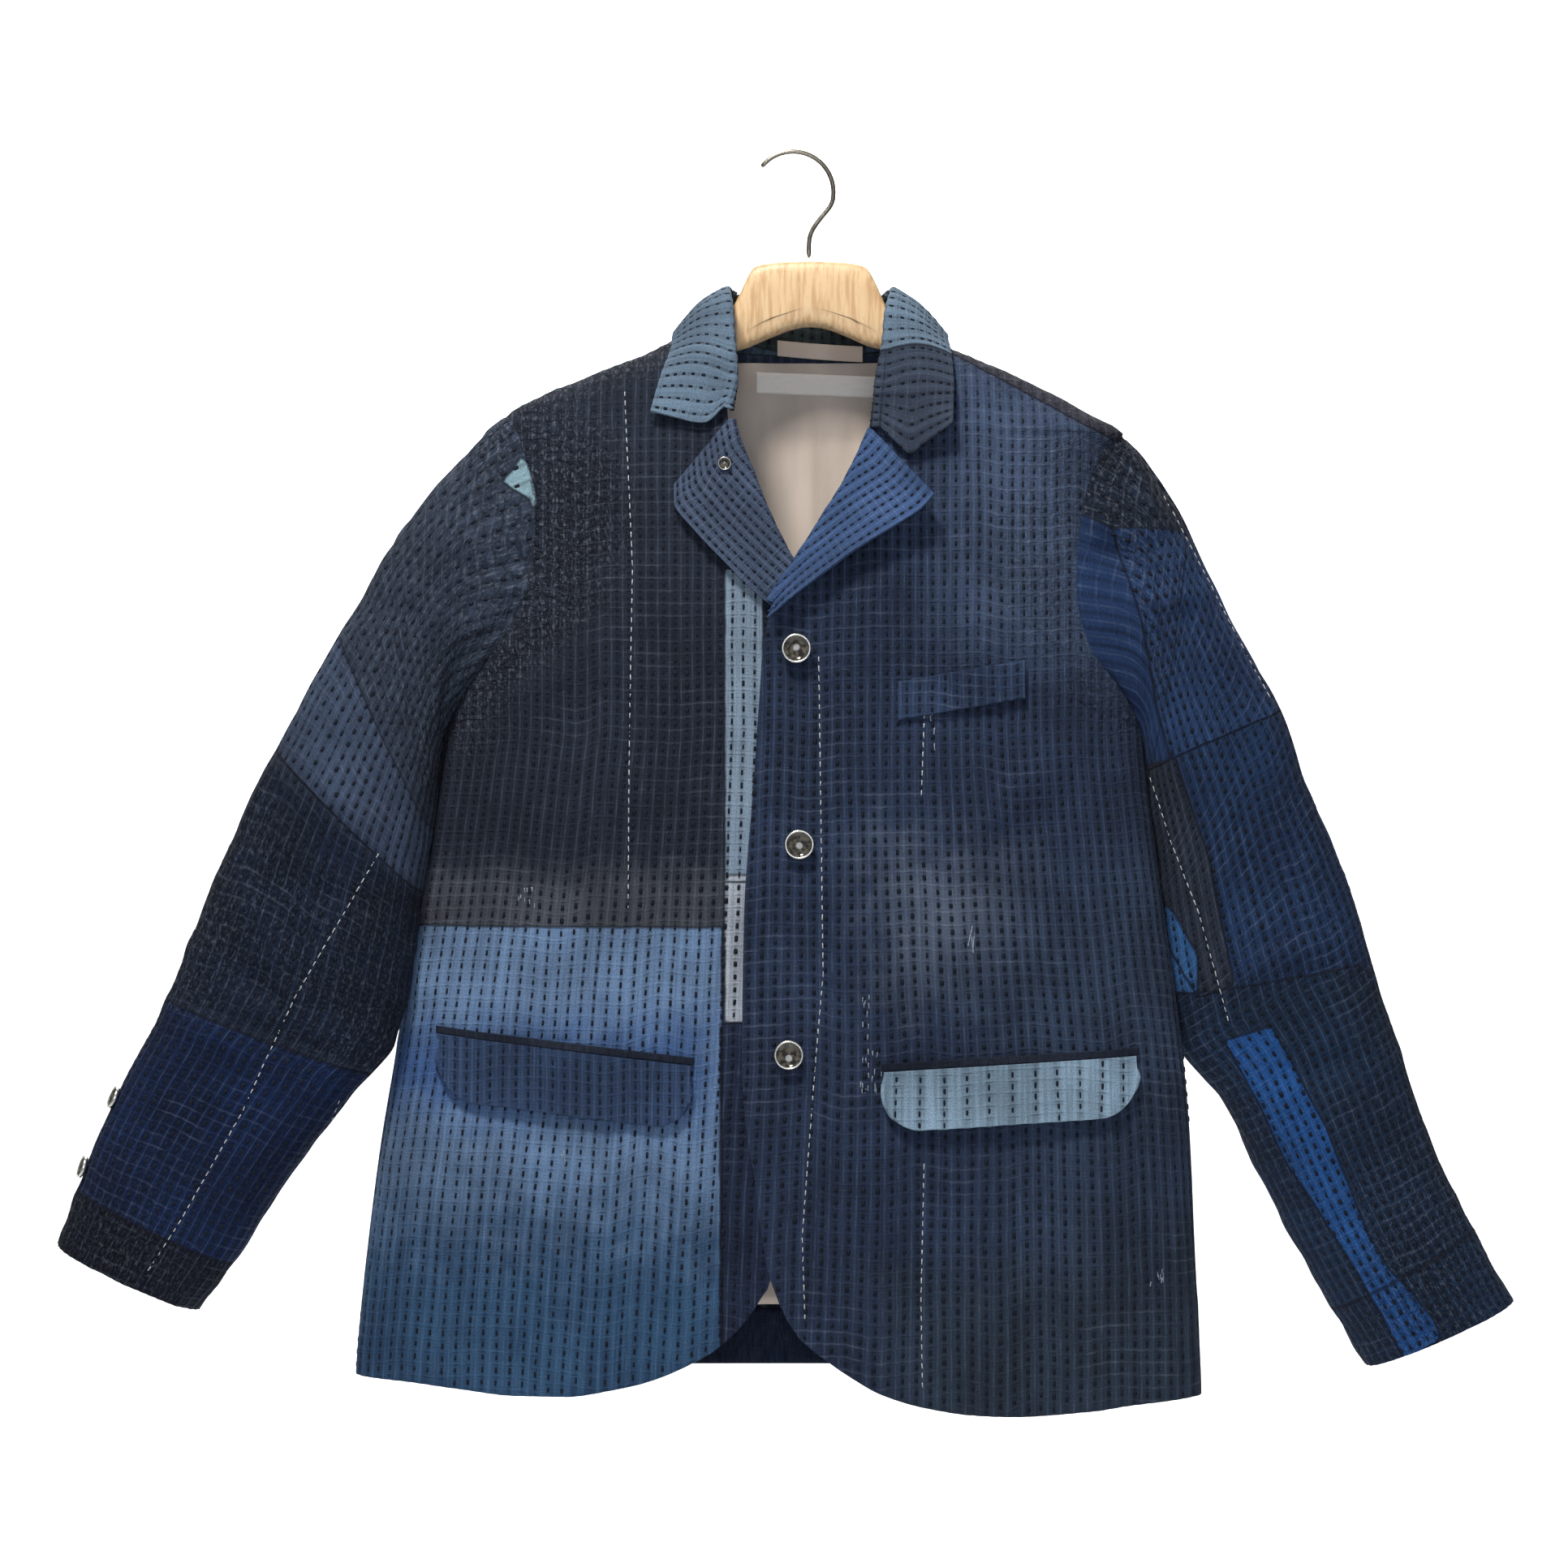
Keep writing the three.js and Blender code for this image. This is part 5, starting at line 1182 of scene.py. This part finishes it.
def fray(name, spots):
    """Leaves short worn threads standing up and down in the frayed spots of a piece."""
    rng = np.random.default_rng(len(name))
    field = {c: np.repeat(v, spots["count"].astype(int)) for c, v in spots.items()}
    scatter = lambda: rng.uniform(-0.5, 0.5, len(field["x"]))
    x, z = field["x"] + field["wide"] * scatter(), field["z"] + field["tall"] * scatter()
    places, normals, found = on_cloth(name, x, z)
    along = np.stack([0.35 * scatter(), 0 * x, 1 + 0 * x], -1)[found]
    lengths = field["length"][found]
    sew(f"{name}_frays", places, along, normals, lengths, 0.9, thread("frayed"), height=0.5)


def upright_grid(points, angle, side):
    """Row and step of each point: the rows run straight up from the chest to the shoulder."""
    level = np.where(points[..., 2] > CHEST_LEVEL, angle_at(points[..., 0], CHEST_LEVEL), angle)
    turns = np.linspace(0, np.pi, 400)
    waist = travelled(body_point(turns, WAIST_LEVEL, side, no_lift, 0))
    rows = np.interp(level, turns, waist) / STITCHING["spacing"][DARK_CLOTH]
    return rows, -points[..., 2] / STITCHING["pitch"][DARK_CLOTH]


def from_seam(points):
    """Distance of each point from the last one of its row, where the seam is."""
    return travelled(points[:, ::-1])[:, ::-1]


def armhole_marks(points, strength):
    """Cloth is crushed beside the armhole and the shoulder's seam, and smooth further in."""
    away, z = from_seam(points), points[..., 2]
    return {"crush": strength * smooth(90, 30, away) * smooth(-450, -370, z) * smooth(-110, -150, z)}


def grid_counts(across, along):
    sizes = bpy.context.scene.quilting_sizes
    return int(along * MM / sizes.row_step), int(across * MM / sizes.column_step)


class JACKET_OT_fronts(bpy.types.Operator):
    """Makes the two quilted fronts with their patches, stitches, basting and frayed spots"""

    bl_idname = "jacket.fronts"
    bl_label = "Fronts"

    def execute(self, context):
        rows, cols = grid_counts(330, 815)
        kinds = (
            (
                "front_right_side", (RIGHT_SEAM, 0, RIGHT_FRONT_EDGE, RIGHT_HEM, wrap_lift),
                FRONT_RIGHT_PATCHES, "Rubbed indigo cotton, hand quilted, right front",
                "1c263a", "27344d", 0.5, 0.35, 11,
            ),
            (
                "front_left_side", (LEFT_SEAM, np.pi, LEFT_FRONT_EDGE, LEFT_HEM, no_lift),
                FRONT_LEFT_PATCHES, "Charcoal indigo cotton, hand quilted, left front",
                "171d29", "212836", 0.35, 1, 23,
            ),
        )
        for name, cut, patches, title, dark, light, cross, crushed, seed in kinds:
            points, angle = front_panel(*cut, rows, cols)
            quilted_piece(
                name, points, TO_FRONT, *upright_grid(points, angle, -1), DARK_CLOTH,
                quilted_cotton(title, dark, light, patches, cross), [name], ["hanger_wood"], seed,
                seam_away=from_seam(points), thickness=QUILTED_CLOTH,
                pale=[corners for patch, *_, corners in patches if patch.startswith("pale")],
                marks=patch_marks(patches, points) | armhole_marks(points, crushed),
            )
        for name, spots in FRAYS.items():
            baste(name, BASTING[name])
            fray(name, spots)
        return {"FINISHED"}


class JACKET_OT_back(bpy.types.Operator):
    """Makes the quilted back"""

    bl_idname = "jacket.back"
    bl_label = "Back"

    def execute(self, context):
        points, angle = back_panel(*grid_counts(510, 720))
        material = quilted_cotton("Indigo cotton, hand quilted, back", "1c263a", "27344d", BACK_PATCHES)
        quilted_piece(
            "back", points, (0, 1, 0), *upright_grid(points, angle, 1), DARK_CLOTH, material, ["back"],
            ["hanger_wood"], 31, seam_away=np.minimum(from_seam(points), from_seam(points)[:, ::-1]),
            thickness=QUILTED_CLOTH, marks=patch_marks(BACK_PATCHES, points),
        )
        return {"FINISHED"}


class JACKET_OT_sleeves(bpy.types.Operator):
    """Makes the two quilted sleeves"""

    bl_idname = "jacket.sleeves"
    bl_label = "Sleeves"

    def execute(self, context):
        rows, cols = grid_counts(370, 640)
        spacing, pitch = STITCHING["spacing"][DARK_CLOTH], STITCHING["pitch"][DARK_CLOTH]
        kinds = (
            ("left", LEFT_SLEEVE, LEFT_SEAM, -1, SLEEVE_LEFT_BANDS, SLEEVE_LEFT_PATCHES, "222a38", "2e394b"),
            (
                "right", RIGHT_SLEEVE, RIGHT_SEAM, 1, SLEEVE_RIGHT_BANDS, SLEEVE_RIGHT_PATCHES,
                "12223d", "1b3153",
            ),
        )
        for way, table, seam, side, bands, patches, dark, light in kinds:
            name = f"sleeve_{way}_side"
            points, at = sleeve_tube(table, seam, side, rows, cols)
            turn, run = travelled(points), travelled(points.mean(axis=1))
            row_at = turn / turn[:, -1:] * round(turn[rows // 2, -1] / spacing) + 0.5
            steps = np.broadcast_to(run[:, None] / pitch, row_at.shape).copy()
            marks = patch_marks(patches, points)
            marks |= band_marks(bands, np.broadcast_to(at, row_at.shape), run[-1] / SLEEVE_ROWS)
            crush = np.broadcast_to(read(CRUSHED, "at", way, at), row_at.shape)
            uneven = 0.75 + 0.5 * drift(row_at * 0.1, steps * 0.12, 9)
            pressed = np.max([inside_distance(points, c) for c in (PLAIN_GUSSET, LIGHT_CORNER[-1])], axis=0)
            marks["crush"] = crush * uneven * smooth(2, -4, pressed)
            title = f"Creased indigo cotton, sleeve {way} side"
            quilted_piece(
                name, points, TO_FRONT, row_at, steps, DARK_CLOTH,
                quilted_cotton(title, dark, light, bands + patches),
                [node for node in frame["nodes"] if node.startswith(name)], [f"front_{way}_side", "back"],
                41 + side, crinkle=0.4 + 1.1 * crush, seam_away=steps * pitch,
                bare=PLAIN_GUSSET if side > 0 else None, closed=True, thickness=QUILTED_CLOTH, marks=marks,
            )
            baste(name, BASTING[name])
        return {"FINISHED"}


class JACKET_OT_collar(bpy.types.Operator):
    """Makes the collar that folds over round the neck"""

    bl_idname = "jacket.collar"
    bl_label = "Collar"

    def execute(self, context):
        across, along = COLLAR_GRID
        points = collar_surface(along, across).transpose(1, 0, 2)
        shape = points.shape[:2]
        rows = travelled(points[COLLAR_FALL])[None, :] / STITCHING["spacing"][COLLAR_CLOTH] + 0.4
        steps = travelled(points[:, along // 2])[:, None] / STITCHING["pitch"][COLLAR_CLOTH]
        share, length = np.linspace(0, 1, across)[:, None], np.linspace(0, 1, along)[None, :]
        marks = {
            "stand": np.broadcast_to((COLLAR_STAND - share) * 60, shape),
            "dark_leaf": np.broadcast_to((length - COLLAR_DARK_LEAF) * 380, shape),
        }
        title = "Faded slate cotton, hand quilted, collar"
        material = quilted_cotton(title, "48586a", "60758a", COLLAR_PATCHES, 0.3, 0.2)
        quilted_piece(
            "collar", points, (-1, -0.3, 0.6), np.broadcast_to(rows, shape), np.broadcast_to(steps, shape),
            COLLAR_CLOTH, material, ["collar"], ["back"], 53, thickness=FACED_CLOTH - 0.4, marks=marks,
            crinkle=0.25, slot="pale_indigo_cotton", held="folded",
        )
        return {"FINISHED"}


class JACKET_OT_lapels(bpy.types.Operator):
    """Makes the two lapels that fold back over the fronts"""

    bl_idname = "jacket.lapels"
    bl_label = "Lapels"

    def execute(self, context):
        kinds = (
            ("lapel_left_side", LEFT_LAPEL, LEFT_FRONT_EDGE, -1, no_lift, "333e52", "44526b", 5.8),
            ("lapel_right_side", RIGHT_LAPEL, RIGHT_FRONT_EDGE, 1, wrap_lift, "2a3d5e", "3a527c", 6.6),
        )
        for name, table, edge, side, lift, dark, light, spacing in kinds:
            points = lapel_surface(table, edge, side, lift, 84, 56)
            run = travelled(points)
            rows = (run - run[:, -1:]) / spacing + 0.6
            down = travelled(points[:, 40])
            steps = np.broadcast_to(down[:, None] / 6.2, rows.shape).copy()
            material = quilted_cotton(f"Indigo cotton, hand quilted, {name.replace('_', ' ')}", dark, light)
            quilted_piece(
                name, points, TO_FRONT, rows, steps, COLLAR_CLOTH, material, [name],
                ["front" + name[5:]], 60 + side, thickness=FACED_CLOTH, crinkle=0.3, held="folded",
            )
        return {"FINISHED"}


class JACKET_OT_pockets(bpy.types.Operator):
    """Makes the pocket flaps, their jets and the breast welt"""

    bl_idname = "jacket.pockets"
    bl_label = "Pockets"

    def execute(self, context):
        flaps = (
            ("flap_left_side", LEFT_FLAP, no_lift, "24334d", "314465", "indigo_quilted_cotton", 8.2),
            ("flap_right_side", RIGHT_FLAP, wrap_lift, "627789", "809ab1", "pale_indigo_cotton", 15.4),
        )
        for name, place, lift, dark, light, slot, spacing in flaps:
            points = flap_surface(place, lift, 34, 150)
            length = math.hypot(place["x1"] - place["x0"], place["z1"] - place["z0"])
            rows = np.broadcast_to(np.linspace(0, length / spacing, 150)[None, :] + 0.45, points.shape[:2])
            steps = np.broadcast_to(-points[..., 2] / 7.6, points.shape[:2])
            material = quilted_cotton(f"Cotton, hand quilted, {name.replace('_', ' ')}", dark, light, (), 0.1)
            quilted_piece(
                name, points, TO_FRONT, rows, steps, FLAP_CLOTH, material, [name], ["front" + name[4:]],
                70 + len(name), thickness=FACED_CLOTH - 0.4, crinkle=0.15, slot=slot,
            )
            jet = dict(place, lift=0, x0=place["x0"] - 2, x1=place["x1"] + 2)
            jet["z0"] += JET_HEIGHT + 0.4
            jet["z1"] += JET_HEIGHT + 0.4
            strip = patch_surface(jet, lambda u: JET_HEIGHT, ON_QUILT, 1.6, lift, 5, 110)
            self.plain(f"jet{name[4:]}", strip, "141925", "1e2534", 1.6, "black_indigo_cotton")
        drop = lambda u: BREAST_WELT["height"] + 0 * u
        points = patch_surface(BREAST_WELT, drop, ON_QUILT, 2, wrap_lift, 24, 70)
        rows = np.broadcast_to(np.linspace(0, 86 / 8.4, 70)[None, :] + 0.3, points.shape[:2])
        material = quilted_cotton("Indigo cotton, hand quilted, welt", "202c43", "2c3c58", (), 0.5)
        quilted_piece(
            "breast_welt", points, TO_FRONT, rows, -points[..., 2] / 7.6, DARK_CLOTH, material,
            ["breast_welt"], ["front_right_side"], 81, thickness=2, crinkle=0.2,
        )
        return {"FINISHED"}

    def plain(self, name, points, dark, light, thickness, slot):
        material = quilted_cotton(f"Plain dark cotton, {name.replace('_', ' ')}", dark, light, (), 0, 0.2)
        maps = {"Stitch": between_rows(points), "Cloth": points[..., ::2] * MM}
        piece = cloth_piece(name, points, TO_FRONT, maps, material, slot, thickness, bevel=0.4)
        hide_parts(name)


class JACKET_OT_lining(bpy.types.Operator):
    """Makes the lining, the hem facing, the bare label and the hanging loop"""

    bl_idname = "jacket.lining"
    bl_label = "Lining"

    def execute(self, context):
        silk = lining_twill("Taupe cupro lining, twill woven", "b7aba1", "cabeb4")
        angle = np.radians(np.linspace(136, 43, 190))[None, :]
        v = np.linspace(0, 1, 150)[:, None]
        z = lerp(-138, -800, v**1.5)
        inwards = lerp(QUILTED_CLOTH + 0.8, LINING_OFFSET, smooth(0, 0.07, v))
        points = inside_back(angle, z, inwards)
        x = points[..., 0]
        pleat = np.exp(-(((x - 12) / 5) ** 2)) - 0.8 * np.exp(-(((x - 21 + 0.05 * z) / 9) ** 2))
        waves = drift(x / 17, z / 160, 5) + 0.5 * drift(x / 8, z / 90, 6)
        points[..., 1] -= smooth(-140, -220, z) * (0.9 + 1.5 * pleat + 1.3 * waves)
        self.inner_sheet("back_lining", points, silk, "taupe_lining", "hung", "back")

        facing = quilted_cotton("Indigo cotton facing, plain woven", "060e1f", "0c162c", (), 0, 0.2)
        angle = np.radians(np.linspace(150, 30, 150))[None, :]
        z = np.linspace(-803, -842, 12)[:, None]
        points = inside_back(angle, z, QUILTED_CLOTH + 1)
        self.inner_sheet(
            "back_hem_facing", points, facing, "black_indigo_cotton", "laid", "back",
            Stitch=between_rows(points),
        )

        label = woven_label("Plain woven label tape")
        x, z = self.tape(LABEL)
        points = inside_back(angle_at(x, z), z, LINING_OFFSET + LINING_CLOTH + 0.8)
        self.inner_sheet("neck_label", points, label, "plain_label", "laid", "back_lining", 0.6)

        x, z = self.tape(LOOP)
        points = np.stack([x, LOOP["y"] - LOOP["bow"] * (x - 12) ** 2, z], -1)
        self.inner_sheet("neck_loop", points, silk, "taupe_lining", "hung", "collar", 1.2, 0.4)
        return {"FINISHED"}

    def tape(self, size):
        """Places of a slanting tape, seen from the front."""
        x = np.linspace(size["x0"], size["x1"], 60)[None, :] + np.zeros((10, 1))
        down = np.linspace(0, 1, 10)[:, None]
        return x, size["topZ"] - size["slope"] * (x - size["x0"]) - size["height"] * down

    def inner_sheet(
        self, name, points, material, slot, held, rests_on, thickness=LINING_CLOTH, bevel=0, **maps
    ):
        """A sheet whose thickness grows forward from its points, so that it keeps off what it lies on."""
        maps["Cloth"] = points[..., ::2] * MM
        piece = cloth_piece(name, points, TO_FRONT, maps, material, slot, thickness, bevel=bevel)
        piece.modifiers["Thickness"].offset = 1
        declare([name])


def button_mesh(name, radius, thickness, shank):
    """A plated cup with a raised rim round a dished resin middle, its face along +Z."""
    profile = (
        (0, -shank), (0.25, -shank), (0.25, 0), (0.82, 0), (0.97, 0.22), (1, 0.45), (0.99, 0.75),
        (0.96, 0.94), (0.91, 1), (0.86, 0.95), (0.83, 0.8), (0.78, 0.62), (0.5, 0.42), (0.2, 0.3), (0, 0.28),
    )
    spun = bmesh.new()
    verts = [
        spun.verts.new((r * radius * MM, 0, (h if h < 0 else h * thickness) * MM)) for r, h in profile
    ]
    edges = [spun.edges.new(pair) for pair in zip(verts, verts[1:])]
    bmesh.ops.spin(
        spun, geom=verts + edges, axis=(0, 0, 1), cent=(0, 0, 0), angle=2 * math.pi, steps=32, use_merge=True
    )
    bmesh.ops.remove_doubles(spun, verts=spun.verts, dist=1e-6)
    bmesh.ops.recalc_face_normals(spun, faces=spun.faces)
    for face in spun.faces:
        middle = face.calc_center_median()
        inner = math.hypot(middle.x, middle.y) < 0.82 * radius * MM and middle.z > 0
        face.material_index = 1 if inner else 0
    mesh = bpy.data.meshes.new(name)
    spun.to_mesh(mesh)
    spun.free()
    mesh.shade_smooth()
    return mesh


class JACKET_OT_buttons(bpy.types.Operator):
    """Makes the front, lapel and cuff buttons"""

    bl_idname = "jacket.buttons"
    bl_label = "Buttons"

    def execute(self, context):
        rim = drawn_metal("Nickel-plated button rim", "cfd0cc", 0.28)
        resin = smoky_resin("Smoky cast resin, polished", "1d1c19", "57544d")
        for name, (x, z) in FRONT_BUTTONS.items():
            seat = front_point(x, z, ON_QUILT + 1.2, wrap_lift)
            self.sew_on(name, 10, 4, 1.6, seat, TO_FRONT, [rim, resin])
        seat = front_point(-46, -220, FACED_CLOTH + ON_QUILT + 2)
        self.sew_on("button_lapel", 4.5, 2.5, 0.6, seat, TO_FRONT, [rim, resin])
        for name, (table, at, degrees, standoff) in CUFF_BUTTONS.items():
            point = lambda a, t: sleeve_point(sleeve_row(table, np.array(a)), np.radians(degrees) + t)
            row = sleeve_row(table, np.array(at))
            seat = point(at, 0)
            around, along = point(at, 0.05) - point(at, -0.05), point(at + 0.1, 0) - point(at - 0.1, 0)
            normal = unit(np.cross(around, along))
            middle = np.array([(row["outX"] + row["inX"]) / 2, row["y"], (row["outZ"] + row["inZ"]) / 2])
            normal = normal if normal @ (seat - middle) > 0 else -normal
            self.sew_on(name, 8, 3.2, 0.6, seat + normal * standoff, normal, [rim, resin])
        return {"FINISHED"}

    def sew_on(self, name, radius, thickness, shank, seat, direction, materials):
        mesh = button_mesh(name, radius, thickness, shank)
        turn = Vector((0, 0, 1)).rotation_difference(Vector(direction)).to_matrix().to_4x4()
        turn.translation = Vector(seat) * MM
        mesh.transform(turn)
        piece = own(f"{name}_sewn", mesh, materials)
        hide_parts(name)


class JACKET_OT_hanger(bpy.types.Operator):
    """Makes the beech hanger and its wire hook from the CAD solids"""

    bl_idname = "jacket.hanger"
    bl_label = "Hanger"

    def execute(self, context):
        beech = oiled_beech("Oiled beech, shaped and sanded", "bf9c72", "d8bb93")
        self.smoothed("hanger_wood", "beech_wood", beech, 2)
        nickel = drawn_metal("Nickel-plated steel wire, drawn", "8a857b", 0.28)
        self.smoothed("hanger_hook", "nickel_steel", nickel, 1)
        return {"FINISHED"}

    def smoothed(self, node, slot, material, levels):
        """A copy of a CAD solid with its loose triangles merged and its facets rounded."""
        copy = bmesh.new()
        copy.from_mesh(frame["nodes"][node].data)
        bmesh.ops.transform(copy, matrix=frame["nodes"][node].matrix_world, verts=copy.verts)
        bmesh.ops.remove_doubles(copy, verts=copy.verts, dist=1e-5)
        bmesh.ops.dissolve_limit(copy, angle_limit=math.radians(1), verts=copy.verts, edges=copy.edges)
        mesh = bpy.data.meshes.new(f"{node}_shaped")
        copy.to_mesh(mesh)
        copy.free()
        mesh.shade_smooth()
        piece = own(f"{node}_shaped", mesh, [material])
        rounded = piece.modifiers.new("Sanded", "SUBSURF")
        rounded.levels = rounded.render_levels = levels
        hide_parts(node)


class JACKET_OT_stage(bpy.types.Operator):
    """Makes the pale floor and backdrop, the lights and the camera"""

    bl_idname = "jacket.stage"
    bl_label = "Stage"

    def execute(self, context):
        settings = context.scene.stage_settings
        sweep = bmesh.new()
        height, depth, bend, width, top = settings.floor_height, 3.4, 0.7, 6.0, 2.5
        side = -width / 2
        profile = [(side, -4.0, height), (side, depth - bend, height)]
        for a in np.linspace(0, math.pi / 2, 16)[1:]:
            profile.append((side, depth - bend + bend * math.sin(a), height + bend - bend * math.cos(a)))
        profile.append((side, depth, top))
        verts = [sweep.verts.new(p) for p in profile]
        edges = [sweep.edges.new(pair) for pair in zip(verts, verts[1:])]
        grown = bmesh.ops.extrude_edge_only(sweep, edges=edges)["geom"]
        grown = [g for g in grown if isinstance(g, bmesh.types.BMVert)]
        bmesh.ops.translate(sweep, verts=grown, vec=(width, 0, 0))
        mesh = bpy.data.meshes.new("floor")
        sweep.to_mesh(mesh)
        sweep.free()
        mesh.shade_smooth()
        mesh.materials.append(matt_paper("Seamless backdrop paper, matt", tuple(settings.paper)))
        floor = bpy.data.objects.new("floor", mesh)
        context.scene.collection.objects.link(floor)
        # A small lamp high on the left gives the shadows, a wide one by the camera lights the neck's inside
        self.light("key", settings.key_power, 0.42, (-0.45, -1.25, 1.5), (0, 0, -0.35), "fff8ee")
        self.light("fill", settings.key_power * 0.18, 0.9, (0.0, -2.2, -0.36), (0, 0, -0.4), "f4f7ff")
        self.light("paper", settings.key_power * 3.6, 2.4, (0, depth - 1.9, 1.6), (0, depth, -0.45), "ffffff")
        world = bpy.data.worlds.new("Soft studio")
        world.use_nodes = True
        world.node_tree.nodes["Background"].inputs["Color"].default_value = (1, 1, 1, 1)
        world.node_tree.nodes["Background"].inputs["Strength"].default_value = 0.22
        context.scene.world = world
        camera = bpy.data.cameras.new("camera")
        camera.sensor_width = 36
        camera.lens = camera.sensor_width * abs(PHOTO_VIEWPOINT[1]) / PHOTO_FRAME_WIDTH
        camera.clip_end = 20
        holder = bpy.data.objects.new("camera", camera)
        holder.location = PHOTO_VIEWPOINT
        holder.rotation_euler = (math.pi / 2, 0, 0)
        context.scene.collection.objects.link(holder)
        context.scene.camera = holder
        context.scene.view_settings.view_transform = "Standard"
        return {"FINISHED"}

    def light(self, name, power, size, place, aim, colour):
        lamp = bpy.data.lights.new(name, "AREA")
        lamp.energy = power
        lamp.shape = "DISK"
        lamp.size = size
        lamp.color = linear(colour)[:3]
        holder = bpy.data.objects.new(name, lamp)
        holder.location = place
        holder.rotation_euler = (Vector(aim) - Vector(place)).to_track_quat("-Z", "Y").to_euler()
        bpy.context.scene.collection.objects.link(holder)


OPERATORS = (
    JACKET_OT_fronts,
    JACKET_OT_back,
    JACKET_OT_sleeves,
    JACKET_OT_collar,
    JACKET_OT_lapels,
    JACKET_OT_pockets,
    JACKET_OT_lining,
    JACKET_OT_buttons,
    JACKET_OT_hanger,
    JACKET_OT_stage,
)


class JACKET_PT_panel(bpy.types.Panel):
    """Lists the jacket's pieces and their settings"""

    bl_idname = "JACKET_PT_panel"
    bl_label = "Jacket"
    bl_space_type = "VIEW_3D"
    bl_region_type = "UI"
    bl_category = "Jacket"

    def draw(self, context):
        for name in GROUPS:
            group = getattr(context.scene, name)
            for key in group.__annotations__:
                self.layout.prop(group, key)
        for operator in OPERATORS:
            self.layout.operator(operator.bl_idname)


GROUPS = {
    "quilting_sizes": QuiltingSizes,
    "stage_settings": StageSettings,
}
CLASSES = (*GROUPS.values(), *OPERATORS, JACKET_PT_panel)


def register():
    for cls in CLASSES:
        bpy.utils.register_class(cls)
    for name, group in GROUPS.items():
        setattr(bpy.types.Scene, name, PointerProperty(type=group))


def unregister():
    for name in GROUPS:
        delattr(bpy.types.Scene, name)
    for cls in reversed(CLASSES):
        bpy.utils.unregister_class(cls)


def main():
    register()
    for operator in OPERATORS:
        group, name = operator.bl_idname.split(".")
        getattr(getattr(bpy.ops, group), name)()
    bpy.context.view_layer.update()


if __name__ == "__main__":
    main()
